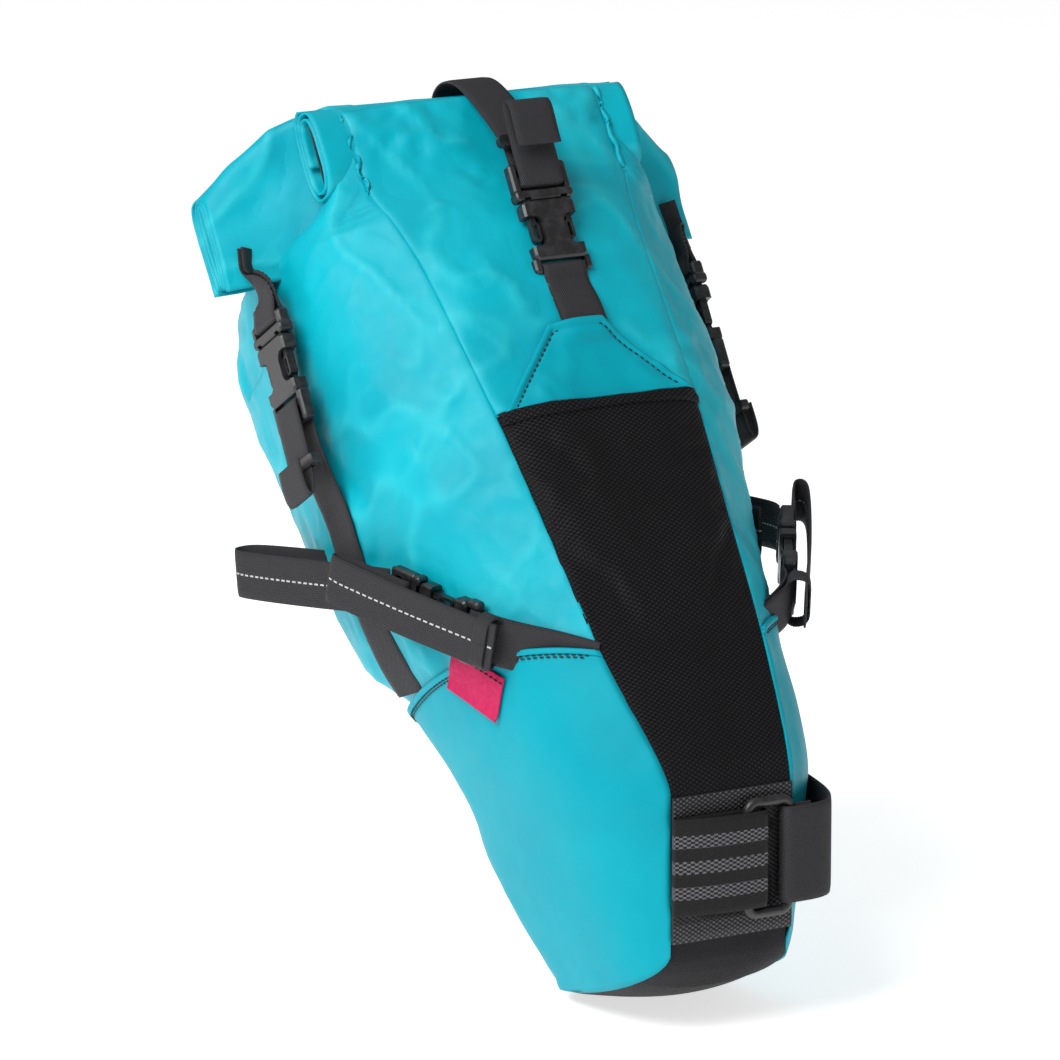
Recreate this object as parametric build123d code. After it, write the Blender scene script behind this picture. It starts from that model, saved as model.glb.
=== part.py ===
from build123d import *
import math
import os
from collections import namedtuple

os.makedirs("parts", exist_ok=True)

# A roll-top saddle bag, in millimetres. The origin is the centre of the webbing pad on the nose,
# which rests against the seatpost: +Z runs up the seatpost, -Y points at it, and X runs across
# the bag. The body leans back from the post, and narrows to the nose at the bottom.

# Soft goods
FABRIC = 1.6
SEAM_GAP = 0.4
WEBBING = 1.4
WEBBING_WIDTH = 25.4
GRIP_WIDTH = 50.8
PATCH = 1.2
STIFFENER = 1.5

# One cross-section of the body. It starts at the front seams (y, z) and its depth runs back and
# down at the lean angle. Half widths: at the front seams, at the widest depth, at the back.
Station = namedtuple("Station", "y z lean front wide wide_at back depth")
PAD_THICK = 2
NOSE_FRONT = PAD_THICK + SEAM_GAP
NOSE_END = Station(y=16, z=-56, lean=28, front=33, wide=38, wide_at=34, back=34, depth=70)
NOSE_LOW = Station(y=NOSE_FRONT, z=-37, lean=24, front=35, wide=50, wide_at=52, back=42, depth=112)
NOSE_MID = Station(y=NOSE_FRONT, z=0, lean=22, front=36, wide=60, wide_at=66, back=50, depth=140)
NOSE_TOP = Station(y=NOSE_FRONT, z=37, lean=18, front=36, wide=70, wide_at=78, back=58, depth=162)
WING_EDGE = Station(y=49.6, z=102.5, lean=23, front=48, wide=84, wide_at=86, back=68, depth=162)
SADDLE = Station(y=93, z=157, lean=34, front=54, wide=98, wide_at=86, back=76, depth=172)
PANEL_TOP = Station(y=137.5, z=212.4, lean=40, front=60, wide=108, wide_at=80, back=84, depth=176)
CROWN = Station(y=207, z=285, lean=42, front=68, wide=115, wide_at=78, back=86, depth=168)
SHOULDER = Station(y=225, z=301, lean=30, front=72, wide=113, wide_at=74, back=84, depth=148)
NECK = Station(y=243, z=312.5, lean=31, front=77, wide=94, wide_at=13, back=88, depth=26)
BODY = [NOSE_END, NOSE_LOW, NOSE_MID, NOSE_TOP, WING_EDGE, SADDLE, PANEL_TOP, CROWN, SHOULDER, NECK]

# How far the wing's edge rises from one cross-section to the next
WING_RISE = 0.22

# The roll-top and every closure buckle slide along one line, leaning back from vertical
SLIDE_LEAN = 31
SLIDE = Vector(0, math.sin(math.radians(SLIDE_LEAN)), math.cos(math.radians(SLIDE_LEAN)))
SLIDE_BACK = Vector(0, math.cos(math.radians(SLIDE_LEAN)), -math.sin(math.radians(SLIDE_LEAN)))

# Roll-top
ROLL_CENTRE = Vector(0, 268, 330)
ROLL_TALL = 50
ROLL_THICK = 24
ROLL_HALF_LENGTH = 96
ROLL_WALL = 3
EAR_END = Vector(141.5, 293, 285)
EAR_TALL = 53
EAR_THICK = 18

# Side-release buckle, lying along X from its female end to its male end, outer face up
BUCKLE_HALF = 17
BUCKLE_TALL = 9
FRAME_TALL = 6.5
BUCKLE_BODY = 33
WAIST_HALF = 6.4
WINDOW_LENGTH = 17
WINDOW_CORNER = 5
WINDOW_AT = 16
SLOT_WIDTH = 27
SLOT = 5
BAR = 3.4
MALE_GAP = 0.5
FRAME_BLOCK = 4
FRAME_BASE = 1.5
ARM_THICK = 3.2
ARM_TALL = 4.4
ARM_CLEAR = 0.45
ARM_OUT = 12.4
PIN_HALF = 1.8
PIN_LOW = 10
EYE_LENGTH = 11
EYE_WIDTH = 4.8
EYE_WALL = 1.5
HINGE_GAP = 0.35
PLAIN = 1
LADDER = 2

# Sliding keepers on the closure tails
KEEPER_LENGTH = 6
KEEPER_TALL = 4.4
KEEPER_CORNER = 2.4
KEEPER_CLEAR = 0.9

# Straps round a buckle bar
BAR_WRAP = BAR / 2 + 0.6 + WEBBING / 2
BAR_RUN = 2.5 * BAR_WRAP
LAYER_GAP = 0.25
TAIL_LIFT = FRAME_TALL / 2 + WEBBING / 2 + 0.35
LOOP_BEND = 0.9
TAIL_BEND = 1.6

# Nose pad and seatpost ring
PAD_LOW = -39
PAD_HIGH = 38
PAD_HALF = 35
GRIP_MID = 2.3
RING_WIRE = 5.4
RING_LEFT = 5.2
RING_RIGHT = 29.7
RING_LOW = -27.3
RING_HIGH = 31.3
RING_OUT = 5.4
RING_CORNER = 5
GRIP_FOLD = 15
GRIP_BEND = 3.4
HOOK_BENDS = [3.2, 3.2, 12, 20]

# Centre closure: how far its anchor reaches down the patch, under and over the bar
CENTRE_X = 6
CENTRE_ORIGIN = Vector(CENTRE_X, 186, 279.6)
CENTRE_ANCHOR = (24, 34)
CENTRE_KEEPER_AT = 15
STRAP_GAP = 3.4
RIDGE_BEND = 6

# The tapered patch: half widths at its foot, part of the way up and at its top
PATCH_LENGTH = 45
PATCH_FOOT = 55
PATCH_MIDDLE = 38
PATCH_TOP = 15.6
PATCH_MIDDLE_AT = 0.45 * PATCH_LENGTH

# Side closures: the buckle, its webs, and the strap that bends round the side to the wing
SIDE_ORIGIN = Vector(126, 237.7, 209.5)
EAR_WEB = (20, 11)
SIDE_STRAP_BEND = Vector(110.5, 199, 135)
SIDE_STRAP_FOOT = Vector(87, 180, 66)
SIDE_STRAP_RADIUS = 60
SIDE_STRAP_GAP = 5.6
SIDE_KEEPER_AT = 24

# Saddle-rail straps: where each leaves the wing's edge, and which way its buckle and loop lie
RAIL_DEEP = 26
RAIL_ALONG = {"left": Vector(-0.31, 0.935, 0.175), "right": Vector(0.48, 0.83, 0.28)}
RAIL_OUT = Vector(0.9, -0.43, 0)
RAIL_BUCKLE_AT = 34
RAIL_LIFT = 12
RAIL_ANCHOR = (30, 14)
RAIL_TAIL_BEND = 2.2
LOOP_ALONG = {"left": Vector(-0.245, 0.966, -0.085), "right": Vector(0.06, 0.99, -0.12)}
LOOP_LENGTH = 118
LOOP_GAP = 16
LOOP_START = 7.2
ELASTIC_AT = -16
ELASTIC_WIDTH = 9
ELASTIC_TALL = 12.4
ELASTIC_LIFT = 3.9
ELASTIC_WALL = 1.1
ELASTIC_CLEAR = 0.7

# Woven label
LABEL = (40, 25, 0.8)
LABEL_ALONG = Vector(-0.12, 0.95, 0.27)
LABEL_OUT = Vector(-0.987, -0.145, 0.061)
LABEL_DEEP = 73

FORWARD = Vector(0, -1, 0)
ACROSS = Vector(1, 0, 0)


def export(name, shape):
    """Write one named piece of the bag."""
    shape.label = name
    export_step(shape, f"parts/{name}.step")


def half_outline(s):
    """The right half of a cross-section, from the front seam to the back seam, as (across, deep)."""
    return [
        (s.front, 0),
        (s.front + 0.78 * (s.wide - s.front), 0.42 * s.wide_at),
        (s.wide, s.wide_at),
        (s.back + 0.68 * (s.wide - s.back), s.wide_at + 0.72 * (s.depth - s.wide_at)),
        (s.back, s.depth),
    ]


def outline(s):
    """A whole cross-section, anticlockwise from the left front seam."""
    right = half_outline(s)
    left = [(-x, d) for x, d in reversed(right)]
    return left[-1:] + right + left[:-1]


def offset_outline(points, inwards):
    """Each corner of a closed outline moved along its bisector, so every edge moves by inwards."""
    moved = []
    for index, corner in enumerate(points):
        before = Vector(*points[index - 1])
        here = Vector(*corner)
        after = Vector(*points[(index + 1) % len(points)])
        entry = (here - before).normalized()
        leave = (after - here).normalized()
        entry_in = Vector(-entry.Y, entry.X)
        leave_in = Vector(-leave.Y, leave.X)
        bisector = (entry_in + leave_in).normalized()
        reach = inwards / bisector.dot(entry_in)
        moved.append((here.X + bisector.X * reach, here.Y + bisector.Y * reach))
    return moved


def place(s, across, deep):
    """A point of a cross-section in the bag's frame."""
    lean = math.radians(s.lean)
    return Vector(across, s.y + deep * math.cos(lean), s.z - deep * math.sin(lean))


def panel(stations, first, last, lift=0.0, thickness=FABRIC):
    """A fabric wall from corner first to corner last of the outline, lofted up the stations."""
    count = len(outline(stations[0]))
    picks = [index % count for index in range(first, last + 1)]
    rings = []
    for s in stations:
        outer = offset_outline(outline(s), -lift)
        inner = offset_outline(outline(s), thickness - lift)
        corners = [outer[index] for index in picks] + [inner[index] for index in reversed(picks)]
        rings.append(Wire.make_polygon([place(s, x, d) for x, d in corners], close=True))
    return Solid.make_loft(rings, ruled=True)


# Corners of the outline: 0-1 front, 1-5 right side, 5-6 back, 6-10 left side
FRONT = (0, 1)
RIGHT = (1, 5)
BACK = (5, 6)
LEFT = (6, 10)


def between(low, high, share):
    """A cross-section part of the way between two others."""
    return Station(*[a + (b - a) * share for a, b in zip(low, high)])


def side_point(s, deep, side=1):
    """A point on the outside of a cross-section's side wall."""
    corners = half_outline(s)
    for (low_x, low_d), (high_x, high_d) in zip(corners, corners[1:]):
        if low_d <= deep <= high_d:
            across = low_x + (high_x - low_x) * (deep - low_d) / (high_d - low_d)
            return place(s, side * across, deep)


def frame_at(origin, along, outward):
    """A local frame: X along, Z outward, Y across."""
    square = outward - along * outward.dot(along)
    return Plane(origin=origin, x_dir=along, z_dir=square)


def ribbon(points, radius, width=WEBBING_WIDTH, thickness=WEBBING):
    """A strap along a planar centreline of (along, outward) points, with its width across."""
    corners = [(x, 0, z) for x, z in points]
    path = FilletPolyline(*corners, radius=radius) if len(corners) > 2 else Line(*corners)
    start = Plane(origin=path @ 0, x_dir=(0, 1, 0), z_dir=path % 0)
    return sweep(start * Rectangle(width, thickness), path=path)


def bar_loop(bar_x, reach_under, reach_over, direction=-1, under=-LAYER_GAP - WEBBING / 2):
    """A strap's centreline under a bar, round its far side and back over it."""
    far = bar_x - direction * BAR_WRAP
    near = bar_x + direction * BAR_RUN
    over = -under
    return [
        (bar_x + direction * reach_under, under),
        (near, under),
        (bar_x, -BAR_WRAP),
        (far, -BAR_WRAP),
        (far, BAR_WRAP),
        (bar_x, BAR_WRAP),
        (near, over),
        (bar_x + direction * reach_over, over),
    ]


def rounded_block(low_x, high_x, half_width, tall, corner=2.0, edge=1.0):
    """A moulded block lying along X, with rounded corners and softened edges."""
    block = Box(high_x - low_x, 2 * half_width, tall)
    block = fillet(block.edges().filter_by(Axis.Z), corner)
    block = chamfer(block.faces().sort_by(Axis.Z)[-1].edges(), edge)
    block = chamfer(block.faces().sort_by(Axis.Z)[0].edges(), edge)
    return Pos((low_x + high_x) / 2, 0, 0) * block


def strap_frame(base, direction, bars):
    """The webbing frame at one end of a buckle: one slot for a plain loop, two for a ladder lock."""
    length = bars * (SLOT + BAR)
    far = base + direction * length
    frame = rounded_block(min(base, far), max(base, far), BUCKLE_HALF, FRAME_TALL)
    for index in range(bars):
        middle = base + direction * (SLOT / 2 + index * (SLOT + BAR))
        slot = fillet(Box(SLOT, SLOT_WIDTH, FRAME_TALL).edges().filter_by(Axis.Z), 0.5)
        frame -= Pos(middle, 0, 0) * slot
    bar = bar_centre(base, direction, bars)
    for level in (-1, 1):
        above = Box(BAR + 1, SLOT_WIDTH, FRAME_TALL)
        frame -= Pos(bar, 0, level * (BAR + FRAME_TALL) / 2) * above
    return frame


def bar_centre(base, direction, bars):
    """Where the outermost bar of a strap frame is."""
    return base + direction * (bars * (SLOT + BAR) - BAR / 2)


def female_bar(bars):
    """Where the outermost bar of a socket's strap frame is."""
    return bar_centre(FRAME_BASE, -1, bars)


def male_bar(bars):
    """Where the outermost bar of a plug's strap frame is."""
    return bar_centre(BUCKLE_BODY + MALE_GAP + FRAME_BLOCK, 1, bars)


def female(bars):
    """The socket half: an hourglass with open windows, hollow for the prongs and the guide pin."""
    body = rounded_block(0, BUCKLE_BODY, BUCKLE_HALF - 1.5, BUCKLE_TALL, corner=3.0, edge=1.2)
    window_wide = 2 * BUCKLE_HALF
    window = Box(WINDOW_LENGTH, window_wide, BUCKLE_TALL)
    window = fillet(window.edges().filter_by(Axis.Z), WINDOW_CORNER)
    entry_wide = ARM_OUT + ARM_CLEAR - WAIST_HALF
    entry_long = BUCKLE_BODY - WINDOW_AT
    entry = Box(entry_long, entry_wide, ARM_TALL + 2 * ARM_CLEAR)
    entry_y = ARM_OUT + ARM_CLEAR - entry_wide / 2
    for side in (-1, 1):
        body -= Pos(WINDOW_AT, side * (WAIST_HALF + window_wide / 2), 0) * window
        body -= Pos(WINDOW_AT + entry_long / 2, side * entry_y, 0) * entry
    pin_way_wide = 2 * (PIN_HALF + ARM_CLEAR)
    pin_way = Box(BUCKLE_BODY - PIN_LOW + ARM_CLEAR, pin_way_wide, pin_way_wide)
    body -= Pos((BUCKLE_BODY + PIN_LOW - ARM_CLEAR) / 2, 0, 0) * pin_way
    return body + strap_frame(FRAME_BASE, -1, bars)


def male(bars):
    """The plug half: a strap frame, a cross block and the guide pin."""
    base = BUCKLE_BODY + MALE_GAP
    block = rounded_block(base, base + FRAME_BLOCK + 1.5, BUCKLE_HALF, BUCKLE_TALL - 1, edge=0.8)
    for side in (-1, 1):
        recess = Box(2 * ARM_CLEAR + 2, ARM_THICK + 2 * ARM_CLEAR, BUCKLE_TALL)
        block -= Pos(base, side * (ARM_OUT - ARM_THICK / 2), 0) * recess
    pin = Box(base + 1 - PIN_LOW, 2 * PIN_HALF, 2 * PIN_HALF)
    pin = Pos((base + 1 + PIN_LOW) / 2, 0, 0) * pin
    return block + pin + strap_frame(base + FRAME_BLOCK, 1, bars)


def prong(side):
    """One springy prong of the plug, ending in the pierced eye that shows in the window."""
    root = BUCKLE_BODY + MALE_GAP + 2 * ARM_CLEAR - HINGE_GAP
    middle = side * (ARM_OUT - ARM_THICK / 2)
    arm = Box(root - WINDOW_AT, ARM_THICK, ARM_TALL)
    arm = Pos((root + WINDOW_AT) / 2, middle, 0) * arm
    hole_length = EYE_LENGTH - 2 * EYE_WALL
    eye = SlotOverall(EYE_LENGTH, EYE_WIDTH) - SlotOverall(hole_length, EYE_WIDTH - 2 * EYE_WALL)
    eye = extrude(eye, ARM_TALL / 2, both=True)
    arm -= Pos(WINDOW_AT, middle, 0) * Box(hole_length, 2 * ARM_THICK, ARM_TALL)
    return arm + Pos(WINDOW_AT, side * (ARM_OUT - EYE_WIDTH / 2), 0) * eye


def slide_keeper():
    """The moulded slider that holds a strap's loose tail."""
    keeper = Box(KEEPER_LENGTH, 2 * BUCKLE_HALF + 2, KEEPER_TALL)
    keeper = fillet(keeper.edges().filter_by(Axis.Z), KEEPER_CORNER)
    return keeper - Box(KEEPER_LENGTH, SLOT_WIDTH, WEBBING + KEEPER_CLEAR)


def export_buckle(name, frame, female_bars, male_bars):
    """The four pieces of one side-release buckle."""
    export(f"{name}_female", frame.location * female(female_bars))
    export(f"{name}_male", frame.location * male(male_bars))
    for side, word in ((1, "a"), (-1, "b")):
        export(f"{name}_prong_{word}", frame.location * prong(side))


def make_body():
    """The sewn shell: wear panel and boot in black, the other panels in the main fabric."""
    front_low = BODY[1:7]
    front_high = BODY[6:]
    export("wear_panel", panel(front_low, *FRONT))
    export("front_panel", panel(front_high, *FRONT))
    export("side_panel_right", panel(BODY, *RIGHT))
    export("side_panel_left", panel(BODY, *LEFT))
    export("back_panel", panel(BODY[2:8], *BACK))
    export("shoulder_panel", panel(BODY[7:], *BACK))


def make_boot():
    """The black fabric round the bottom of the nose: front strip, floor and back strip."""
    front = panel(BODY[:2], *FRONT)
    back = panel(BODY[:3], *BACK)
    s = NOSE_END
    floor_outline = [place(s, x, d) for x, d in outline(s)]
    lean = math.radians(s.lean)
    down = Vector(0, -math.sin(lean), -math.cos(lean))
    floor = extrude(make_face(Wire.make_polygon(floor_outline, close=True)), FABRIC, dir=down)
    export("nose_boot", front + back + floor)


def make_stiffener():
    """A U-shaped plastic sheet inside the nose, behind the pad and round both sides."""
    lift = -(FABRIC + SEAM_GAP)
    stations = [NOSE_LOW, NOSE_MID, NOSE_TOP, between(NOSE_TOP, WING_EDGE, 0.8)]
    export("nose_stiffener", panel(stations, -1, 2, lift=lift, thickness=STIFFENER))


def make_wings():
    """The second fabric layer on each side of the nose, open along its upper edge."""
    lift = FABRIC + SEAM_GAP
    stations = BODY[1:5] + [between(WING_EDGE, SADDLE, WING_RISE)]
    export("wing_right", panel(stations, *RIGHT, lift=lift))
    export("wing_left", panel(stations, *LEFT, lift=lift))


def front_frame(x, y, z, lift):
    """A frame on the upper front, X up the panel and Z out of it."""
    up = (place(CROWN, 0, 0) - place(PANEL_TOP, 0, 0)).normalized()
    out = Vector(0, -up.Z, up.Y)
    return frame_at(Vector(x, y, z) + out * lift, up, out)


def make_patch():
    """The tapered patch that holds the centre closure's anchor, on the top edge of the wear panel."""
    frame = front_frame(0, PANEL_TOP.y, PANEL_TOP.z, SEAM_GAP)
    shape = make_face(Polyline(
        (0, -PATCH_FOOT), (0, PATCH_FOOT), (PATCH_MIDDLE_AT, PATCH_MIDDLE),
        (PATCH_LENGTH, PATCH_TOP), (PATCH_LENGTH, -PATCH_TOP), (PATCH_MIDDLE_AT, -PATCH_MIDDLE),
        close=True))
    export("closure_patch", frame.location * extrude(shape, PATCH))


def make_centre_closure():
    """The strap over the roll, its buckle down the front, and the short anchor on the patch."""
    frame = frame_at(CENTRE_ORIGIN, SLIDE, FORWARD)
    export_buckle("centre", frame, PLAIN, LADDER)
    anchor = ribbon(bar_loop(female_bar(PLAIN), *CENTRE_ANCHOR), LOOP_BEND)
    export("centre_anchor_web", frame.location * anchor)

    bar = male_bar(LADDER)
    tail = [
        (bar - 9, TAIL_LIFT), (bar - 2, TAIL_LIFT + 0.1), (bar + 24, TAIL_LIFT + 1),
        (bar + 30, 9), (bar + 24, 13), (bar + 14, 13),
    ]
    export("centre_tail", frame.location * ribbon(tail, TAIL_BEND))

    start = frame.from_local_coords(Vector(bar + STRAP_GAP, 0, -0.2))
    roll_top = ROLL_CENTRE + SLIDE * (ROLL_TALL / 2 + 2) - SLIDE_BACK * (ROLL_THICK / 2 - 3)
    over = [
        (start.Y, start.Z),
        (roll_top.Y, roll_top.Z),
        (roll_top.Y + 22, roll_top.Z - 8),
        (roll_top.Y + 0.5, roll_top.Z - 55),
    ]
    side_view = Plane(origin=(CENTRE_X, 0, 0), x_dir=(0, 1, 0), z_dir=(0, 0, 1))
    export("centre_strap", side_view.location * ribbon(over, RIDGE_BEND))

    export("centre_keeper", frame.location * Pos(bar + CENTRE_KEEPER_AT, 0, 1.5) * slide_keeper())


def mirrored(point, side):
    """A right-hand point, or its mirror on the left."""
    return Vector(side * point.X, point.Y, point.Z)


def make_side_closure(side, word):
    """The web from the roll's end, the side buckle, and the strap down to the wing.

    The strap's keeper is returned, because the two keepers share one node.
    """
    name = f"{word}_closure"
    outward = Vector(side, 0, 0)
    frame = frame_at(mirrored(SIDE_ORIGIN, side), SLIDE, outward)
    export_buckle(name, frame, LADDER, PLAIN)

    ear_web = ribbon(bar_loop(male_bar(PLAIN), *EAR_WEB, direction=1), LOOP_BEND)
    export(f"{name}_ear_web", frame.location * ear_web)

    bar = female_bar(LADDER)
    tail = [
        (bar + 9, TAIL_LIFT), (bar - 2, TAIL_LIFT + 0.1), (bar - 30, TAIL_LIFT),
        (bar - 38, 8), (bar - 24, 10),
    ]
    export(f"{name}_tail", frame.location * ribbon(tail, TAIL_BEND))

    top = frame.from_local_coords(Vector(bar - SIDE_STRAP_GAP, 0, -0.4))
    bend = mirrored(SIDE_STRAP_BEND, side)
    foot = mirrored(SIDE_STRAP_FOOT, side)
    along = (foot - top).normalized()
    strap_plane = frame_at(top, along, outward)
    bend_local = strap_plane.to_local_coords(bend)
    length = (foot - top).length
    strap = ribbon([(0, 0), (bend_local.X, bend_local.Z), (length, 0)], SIDE_STRAP_RADIUS)
    export(f"{name}_strap", strap_plane.location * strap)

    return frame.location * Pos(bar - SIDE_KEEPER_AT, 0, TAIL_LIFT) * slide_keeper()


def make_rail_strap(word):
    """Anchor web, buckle, folded tail with its elastic keeper, and the loop for the saddle rail."""
    side = -1 if word == "left" else 1
    name = f"{word}_rail"
    along = RAIL_ALONG[word].normalized()
    outward = mirrored(RAIL_OUT, side)
    wing_top = between(WING_EDGE, SADDLE, WING_RISE)
    base = frame_at(side_point(wing_top, RAIL_DEEP, side), along, outward)
    origin = base.from_local_coords(Vector(RAIL_BUCKLE_AT, 0, RAIL_LIFT))
    frame = frame_at(origin, along, outward)
    export_buckle(name, frame, PLAIN, LADDER)

    anchor = ribbon(bar_loop(female_bar(PLAIN), *RAIL_ANCHOR), LOOP_BEND)
    export(f"{name}_anchor_web", frame.location * anchor)

    bar = male_bar(LADDER)
    tail = [(bar - 9, TAIL_LIFT), (bar + 26, TAIL_LIFT), (bar + 34, 9), (bar + 20, 13), (-24, 8)]
    export(f"{name}_tail", frame.location * ribbon(tail, RAIL_TAIL_BEND))

    loop_start = frame.from_local_coords(Vector(bar + LOOP_START, 0, -0.4))
    loop_frame = frame_at(loop_start, LOOP_ALONG[word].normalized(), outward)
    half = LOOP_LENGTH / 2
    loop = [(0, 0), (half, 2), (LOOP_LENGTH, 0), (LOOP_LENGTH, -LOOP_GAP), (half + 3, -LOOP_GAP - 6)]
    export(f"{name}_loop", loop_frame.location * ribbon(loop, LOOP_GAP / 2 - 0.2))

    inside = WEBBING_WIDTH + 2 * ELASTIC_CLEAR
    keeper = Box(ELASTIC_WIDTH, inside + 2 * ELASTIC_WALL, ELASTIC_TALL + 2 * ELASTIC_WALL)
    keeper -= Box(ELASTIC_WIDTH, inside, ELASTIC_TALL)
    export(f"{name}_keeper", frame.location * Pos(ELASTIC_AT, 0, ELASTIC_LIFT) * keeper)


def make_label():
    """The plain woven label on the left wing, below its edge."""
    middle = side_point(WING_EDGE, LABEL_DEEP, -1)
    frame = frame_at(middle, LABEL_ALONG.normalized(), LABEL_OUT)
    lift = FABRIC + SEAM_GAP + 4 * LABEL[2]
    export("side_label", frame.location * Pos(0, 0, lift) * Box(*LABEL))


def make_nose_pad():
    """The webbing pad that meets the seatpost."""
    low = Vector(0, PAD_THICK / 2, (PAD_LOW + PAD_HIGH) / 2)
    pad = Box(2 * PAD_HALF, PAD_THICK, PAD_HIGH - PAD_LOW)
    export("nose_pad", Pos(low) * pad)


def make_seatpost_strap():
    """The grip strap, the rectangular ring, and the hook-and-loop strap through it."""
    frame = frame_at(Vector(0, 0, GRIP_MID), ACROSS, FORWARD)
    wrap = RING_WIRE / 2 + 0.5 + WEBBING / 2
    under = LAYER_GAP + WEBBING / 2
    over = RING_OUT + wrap
    grip = [(-36, under), (GRIP_FOLD, under), (GRIP_FOLD, over), (-6, over), (-34, under + 3)]
    export("seatpost_grip_strap", frame.location * ribbon(grip, GRIP_BEND, width=GRIP_WIDTH))

    ring_shape = RectangleRounded(RING_RIGHT - RING_LEFT, RING_HIGH - RING_LOW, RING_CORNER)
    ring_middle = Pos((RING_LEFT + RING_RIGHT) / 2, (RING_LOW + RING_HIGH) / 2)
    ring_path = (Pos(0, -RING_OUT, 0) * Rot(90, 0, 0) * ring_middle * ring_shape).wire()
    start = Plane(origin=ring_path @ 0, z_dir=ring_path % 0)
    export("seatpost_ring", sweep(start * Circle(RING_WIRE / 2), path=ring_path))

    near = RING_RIGHT - wrap
    inner = [(44, under + 0.2), (RING_RIGHT + 6, under + 0.2)]
    export("hook_strap_base", frame.location * ribbon(inner, 1, width=GRIP_WIDTH - 2))
    tail = [
        (RING_RIGHT + 5, RING_OUT - wrap), (near, RING_OUT - wrap), (near, over), (46, over),
        (65, -16), (72, -52),
    ]
    export("hook_strap_tail", frame.location * ribbon(tail, HOOK_BENDS, width=GRIP_WIDTH))


def make_roll():
    """The rolled mouth: a flattened tube round its stiffener, and an ear drooping at each end."""
    end = ROLL_CENTRE - ACROSS * ROLL_HALF_LENGTH
    section = Plane(origin=end, x_dir=SLIDE_BACK, z_dir=ACROSS)
    corner = ROLL_THICK / 2 - 1
    hollow = 2 * ROLL_WALL
    outer = RectangleRounded(ROLL_THICK, ROLL_TALL, corner)
    inner = RectangleRounded(ROLL_THICK - hollow, ROLL_TALL - hollow, corner - ROLL_WALL)
    export("roll", extrude(section * (outer - inner), 2 * ROLL_HALF_LENGTH))
    strip = Rectangle(STIFFENER, ROLL_TALL - 4 * ROLL_WALL)
    inside = section.offset(ROLL_WALL)
    export("roll_stiffener", extrude(inside * strip, 2 * (ROLL_HALF_LENGTH - ROLL_WALL)))


def make_ear(side, word):
    """One drooping end of the roll, out past the side of the bag."""
    inner_at = mirrored(ROLL_CENTRE + ACROSS * ROLL_HALF_LENGTH, side)
    outer_at = mirrored(EAR_END, side)
    sections = []
    for at, thick, tall in ((inner_at, ROLL_THICK, ROLL_TALL), (outer_at, EAR_THICK, EAR_TALL)):
        plane = Plane(origin=at, x_dir=SLIDE_BACK, z_dir=ACROSS)
        sections.append(plane * RectangleRounded(thick, tall, thick / 2 - 1))
    export(f"ear_{word}", loft(sections))


def make_part():
    """Every piece of the bag."""
    make_body()
    make_boot()
    make_stiffener()
    make_wings()
    make_patch()
    make_nose_pad()
    make_seatpost_strap()
    make_roll()
    make_centre_closure()
    make_label()
    keepers = []
    for side, word in ((-1, "left"), (1, "right")):
        make_ear(side, word)
        keepers.append(make_side_closure(side, word))
        make_rail_strap(word)
    export("closure_keepers", Compound(children=keepers))


make_part()
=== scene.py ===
import bpy
import math
from collections import namedtuple
import numpy as np
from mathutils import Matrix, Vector
from mathutils.bvhtree import BVHTree


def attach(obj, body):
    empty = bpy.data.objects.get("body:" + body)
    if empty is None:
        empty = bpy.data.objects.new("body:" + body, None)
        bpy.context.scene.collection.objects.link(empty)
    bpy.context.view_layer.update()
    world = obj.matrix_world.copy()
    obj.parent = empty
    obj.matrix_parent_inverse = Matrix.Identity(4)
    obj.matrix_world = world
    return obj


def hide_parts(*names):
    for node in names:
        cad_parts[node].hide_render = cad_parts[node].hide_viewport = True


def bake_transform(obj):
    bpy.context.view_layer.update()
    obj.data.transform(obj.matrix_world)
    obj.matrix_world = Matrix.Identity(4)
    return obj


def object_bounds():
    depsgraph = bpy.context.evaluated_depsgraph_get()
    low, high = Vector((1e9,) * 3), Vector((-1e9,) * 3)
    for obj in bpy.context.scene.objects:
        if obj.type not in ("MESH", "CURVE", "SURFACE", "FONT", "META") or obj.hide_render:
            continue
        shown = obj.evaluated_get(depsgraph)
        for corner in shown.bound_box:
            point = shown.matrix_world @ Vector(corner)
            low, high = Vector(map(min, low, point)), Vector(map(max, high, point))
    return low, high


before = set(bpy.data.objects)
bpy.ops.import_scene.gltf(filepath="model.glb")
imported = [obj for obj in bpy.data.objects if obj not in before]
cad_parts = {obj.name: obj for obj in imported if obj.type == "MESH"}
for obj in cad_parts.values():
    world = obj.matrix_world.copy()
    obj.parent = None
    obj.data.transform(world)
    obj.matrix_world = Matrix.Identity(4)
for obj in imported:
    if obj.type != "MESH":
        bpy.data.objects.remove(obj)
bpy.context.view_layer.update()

# Lengths are in millimetres up to the studio, and turn into metres where a mesh is made. The frame is the
# model's: the origin is the centre of the pad on the nose, +Z runs up the seatpost, -Y out of it.
MM = 0.001

WEBBING = 1.5
WEBBING_WIDTH = 25.4
GRIP_WIDTH = 50.8
CLOTH = 1.1

SLIDE = np.array([0, math.sin(math.radians(31)), math.cos(math.radians(31))])
SLIDE_BACK = np.array([0, SLIDE[2], -SLIDE[1]])


# ---------------------------------------------------------------- small helpers

def vec(*values):
    return np.array(values, float)


def unit(v):
    v = np.asarray(v, float)
    return v / np.maximum(np.linalg.norm(v, axis=-1, keepdims=True), 1e-9)


def mirrored(point, side):
    """A right-hand point, or its mirror on the left."""
    return vec(side * point[0], point[1], point[2])


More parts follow.
